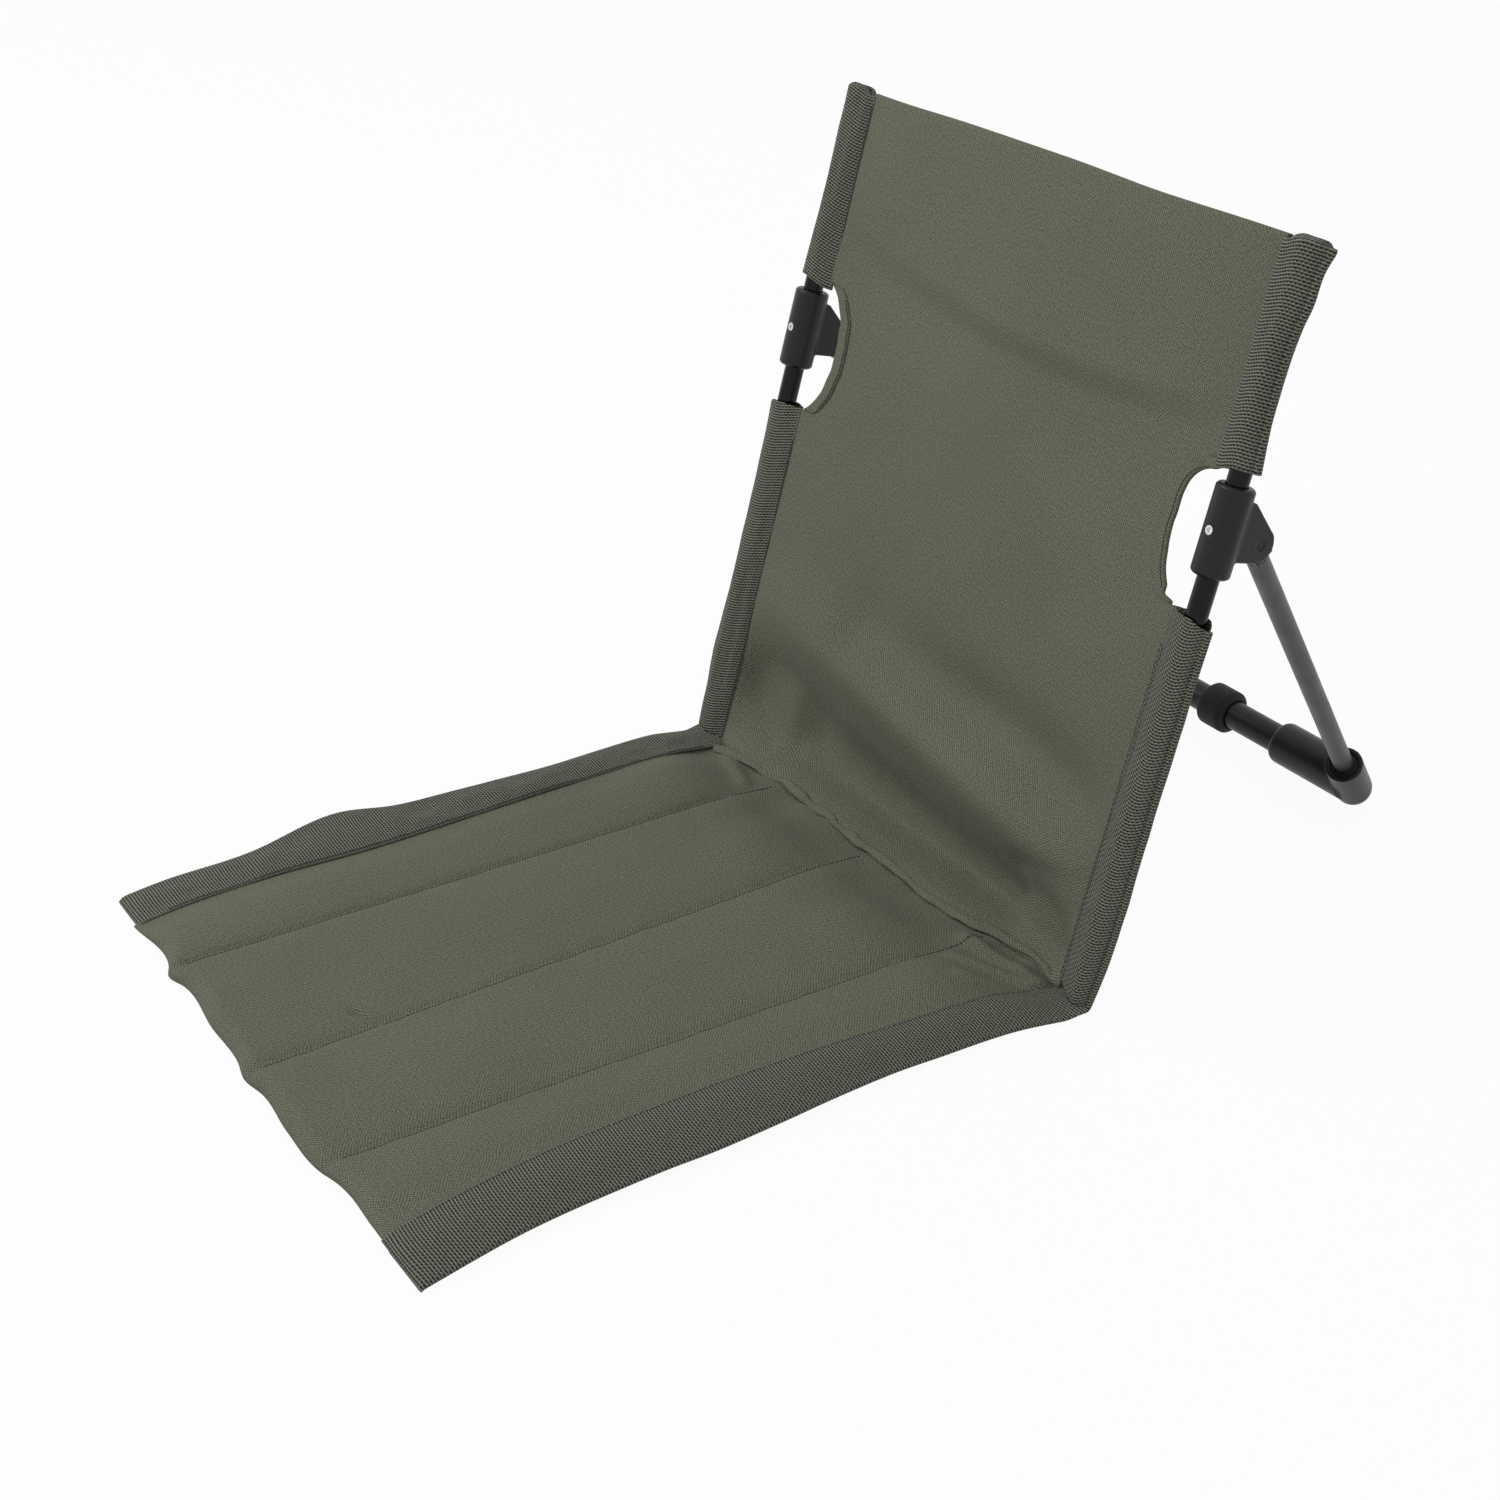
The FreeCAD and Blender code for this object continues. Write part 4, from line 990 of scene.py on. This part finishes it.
class CHAIR_OT_seat_bands(bpy.types.Operator):
    """Bind the sides of the seat with webbing that rolls over the padded edge."""

    bl_idname = "chair.seat_bands"
    bl_label = "Seat bands"

    def execute(self, context):
        look = context.scene.chair_cloth
        for name, side in SIDES:
            self.band(name, side, look)
        return {"FINISHED"}

    def band(self, name, side, look):
        """A strip from the seam over the rim and back under the seat, with its sewn line."""
        setback, bulge, puckers, cover, radius = BANDS[name]
        edge, floor, turned_in = 2 * MM, 0.8 * MM, 8 * MM
        start, end = SEAT_FRONT + setback * MM, SEAT_REAR + 2 * MM
        y = np.linspace(start, end, 190)[:, None]
        over = np.linspace(0, 1, 20)
        turn = np.linspace(0, math.pi, 9)[1:-1]
        under = np.linspace(0, 1, 14)
        seam, seam_height, rim, rim_height = soft_edge(name, y)
        round_off = rounded_end(y - start, 6 * MM)
        arch = np.sin(math.pi * over)
        uneven = soft_noise(y, over * 0.03, 9 * MM, 73) + 2 * soft_noise(y, over * 0.03, 28 * MM, 75)
        wrinkle = puckers * MM * uneven * arch ** 0.7
        wave = 0.8 * MM * soft_noise(y, side, 38 * MM, 74)
        corner = 8 * MM
        rim = rim + wave - corner * (1 - rounded_end(end - y, corner))
        inner = rim - edge
        high = rim_height + edge * 0.6
        low = np.maximum(rim_height - edge, floor)
        top_x = seam + (inner - seam) * over
        top_z = seam_height + (high - seam_height) * over + bulge * MM * round_off * arch + wrinkle
        turn_x = inner + edge * np.sin(turn)
        turn_z = (high + low) / 2 + (high - low) / 2 * np.cos(turn)
        under_x = inner + (seam + turned_in - inner) * under
        under_z = low + (floor - low) * ease(0, 0.6, under)
        x = np.concatenate([top_x, turn_x, under_x], axis=1)
        z = np.concatenate([top_z, turn_z, under_z], axis=1)
        z = floor + (z - floor) * (0.25 + 0.75 * round_off) * settled(y)
        rise = 3 * MM * ease(SEAT_REAR - 20 * MM, SEAT_REAR - 4 * MM, y) * ease(seam, rim, x)
        points = grid_points(side * x, y, z + rise)
        flat = flat_cut(points)
        strip = grid_object(f"{name}_webbing_band", points, flat)
        thicken(strip, 1.1 * MM, 0)
        paint(strip, shared(ribbed_webbing, look))
        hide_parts(f"{name}_seat_band")
        fold_at_crease(strip)
        sewn = points[8:-8, 1] + UP * 0.7 * MM
        row = stitches(f"{name}_band_stitching", sewn, UP, look, cover, radius * MM)
        fold_at_crease(row)


# Frame


class CHAIR_OT_mouldings(bpy.types.Operator):
    """Round the edges of the moulded hubs, knuckles, feet and collar."""

    bl_idname = "chair.mouldings"
    bl_label = "Mouldings"

    def execute(self, context):
        finish = context.scene.chair_finish
        nylon = shared(moulded_nylon, finish)
        for name, _ in SIDES:
            for piece, body in (("hub", "back"), ("leg_knuckle", "prop"), ("foot", "prop")):
                self.rounded(f"{name}_{piece}", body, nylon, "moulded_black", finish)
        self.rounded("centre_collar", "prop", shared(black_rubber, finish), "rubber_black", finish)
        return {"FINISHED"}

    def rounded(self, node, body, material, slot, finish):
        """A copy of a moulded piece with soft edges, in place of the sharp one."""
        item = placed(f"{node}_moulding", frame["nodes"][node].data.copy())
        weld(item, 0.005 * MM)
        grid = item.modifiers.new("grid", "REMESH")
        grid.mode = "VOXEL"
        grid.voxel_size = finish.moulding_detail
        soften = item.modifiers.new("soften", "SMOOTH")
        soften.factor = 0.5
        soften.iterations = 5
        bpy.context.view_layer.update()
        settle(item)
        paint(item, material)
        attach(item, body)
        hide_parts(node)


class CHAIR_OT_tubes(bpy.types.Operator):
    """Finish the tubes, plugs, bushes, pins and screws."""

    bl_idname = "chair.tubes"
    bl_label = "Tubes and fasteners"

    def execute(self, context):
        finish = context.scene.chair_finish
        finishes = (
            ("back_pole", shared(gloss_paint, finish)),
            ("prop_leg", shared(anodised_tube, finish)),
            ("crossbar", shared(satin_paint, finish)),
            ("pole_foot_cap", shared(moulded_nylon, finish)),
            ("pole_top_cap", shared(moulded_nylon, finish)),
            ("leg_bush", shared(black_rubber, finish)),
        )
        for name, _ in SIDES:
            for piece, material in finishes:
                paint(frame["nodes"][f"{name}_{piece}"], material)
        paint(frame["nodes"]["crossbar_spigot"], shared(moulded_nylon, finish))
        paint(frame["nodes"]["hub_screws"], shared(plated_steel, finish))
        paint(frame["nodes"]["pivot_pins"], shared(blackened_steel, finish))
        return {"FINISHED"}


# Stage


class CHAIR_OT_stage(bpy.types.Operator):
    """Set the camera, the white floor and the soft lamps."""

    bl_idname = "chair.stage"
    bl_label = "Stage"

    def execute(self, context):
        stage = context.scene.chair_stage
        self.camera(context, stage)
        self.floor()
        self.world(context, stage)
        self.lamp("key_lamp", (-1.6, -1.9, 2.5), 1.5, stage.key_power)
        self.lamp("fill_lamp", (2.2, -0.4, 1.8), 1.8, stage.fill_power)
        context.scene.view_settings.view_transform = "Standard"
        return {"FINISHED"}

    def camera(self, context, stage):
        """The camera that saw the chair, found from its poles, hubs, corners and crossbar."""
        lens = bpy.data.cameras.new("camera")
        lens.lens = stage.lens
        lens.sensor_width = 36
        camera = placed("camera", lens)
        camera.location = stage.camera_place
        camera.rotation_euler = stage.camera_turn
        context.scene.camera = camera

    def floor(self):
        """A wide white floor just under the chair."""
        wide, low = 12.0, -0.4 * MM
        corners = [(-wide, -wide, low), (wide, -wide, low), (wide, wide, low), (-wide, wide, low)]
        mesh = bpy.data.meshes.new("studio_floor")
        mesh.from_pydata(corners, [], [(0, 1, 2, 3)])
        floor = placed("studio_floor", mesh)
        paint(floor, pale_floor())

    def world(self, context, stage):
        """Even light all round, seen as plain white."""
        world = bpy.data.worlds.new("studio")
        world.use_nodes = True
        tree = world.node_tree
        tree.nodes.clear()
        even = add_node(tree, "ShaderNodeBackground", {"Color": (1, 1, 1, 1), "Strength": stage.world_level})
        white = add_node(tree, "ShaderNodeBackground", {"Color": (1, 1, 1, 1), "Strength": 1.0})
        mixed = add_node(tree, "ShaderNodeMixShader", {0: seen_directly(tree), 1: even, 2: white})
        add_node(tree, "ShaderNodeOutputWorld", {"Surface": mixed})
        context.scene.world = world

    def lamp(self, name, place, width, power):
        """One large soft lamp that points at the chair."""
        light = bpy.data.lights.new(name, "AREA")
        light.size = width
        light.energy = power
        lamp = placed(name, light)
        lamp.location = place
        towards = Vector((0, 0, 0.15)) - Vector(place)
        lamp.rotation_euler = towards.to_track_quat("-Z", "Y").to_euler()


PIECES = (
    CHAIR_OT_back_cloth,
    CHAIR_OT_pole_sleeves,
    CHAIR_OT_seat_quilt,
    CHAIR_OT_seat_bands,
    CHAIR_OT_mouldings,
    CHAIR_OT_tubes,
    CHAIR_OT_stage,
)
SETTINGS = (
    ("chair_cloth", ChairClothSettings),
    ("chair_seat", ChairSeatSettings),
    ("chair_finish", ChairFinishSettings),
    ("chair_stage", ChairStageSettings),
)


class CHAIR_PT_sidebar(bpy.types.Panel):
    """Lists the pieces of the chair and the sizes that shape them."""

    bl_idname = "CHAIR_PT_sidebar"
    bl_label = "Folding beach chair"
    bl_space_type = "VIEW_3D"
    bl_region_type = "UI"
    bl_category = "Beach chair"

    def draw(self, context):
        for piece in PIECES:
            self.layout.operator(piece.bl_idname)
        for name, group in SETTINGS:
            column = self.layout.column(align=True)
            for field in group.__annotations__:
                column.prop(getattr(context.scene, name), field)


def register():
    """Make the settings, operators and panel known to Blender."""
    for name, group in SETTINGS:
        bpy.utils.register_class(group)
        setattr(bpy.types.Scene, name, bpy.props.PointerProperty(type=group))
    for piece in PIECES:
        bpy.utils.register_class(piece)
    bpy.utils.register_class(CHAIR_PT_sidebar)


def unregister():
    """Take them away again."""
    bpy.utils.unregister_class(CHAIR_PT_sidebar)
    for piece in reversed(PIECES):
        bpy.utils.unregister_class(piece)
    for name, group in reversed(SETTINGS):
        delattr(bpy.types.Scene, name)
        bpy.utils.unregister_class(group)


def main():
    """Make every piece in order."""
    register()
    bpy.ops.chair.stage()
    bpy.ops.chair.back_cloth()
    bpy.ops.chair.pole_sleeves()
    bpy.ops.chair.seat_quilt()
    bpy.ops.chair.seat_bands()
    bpy.ops.chair.mouldings()
    bpy.ops.chair.tubes()


if __name__ == "__main__":
    main()
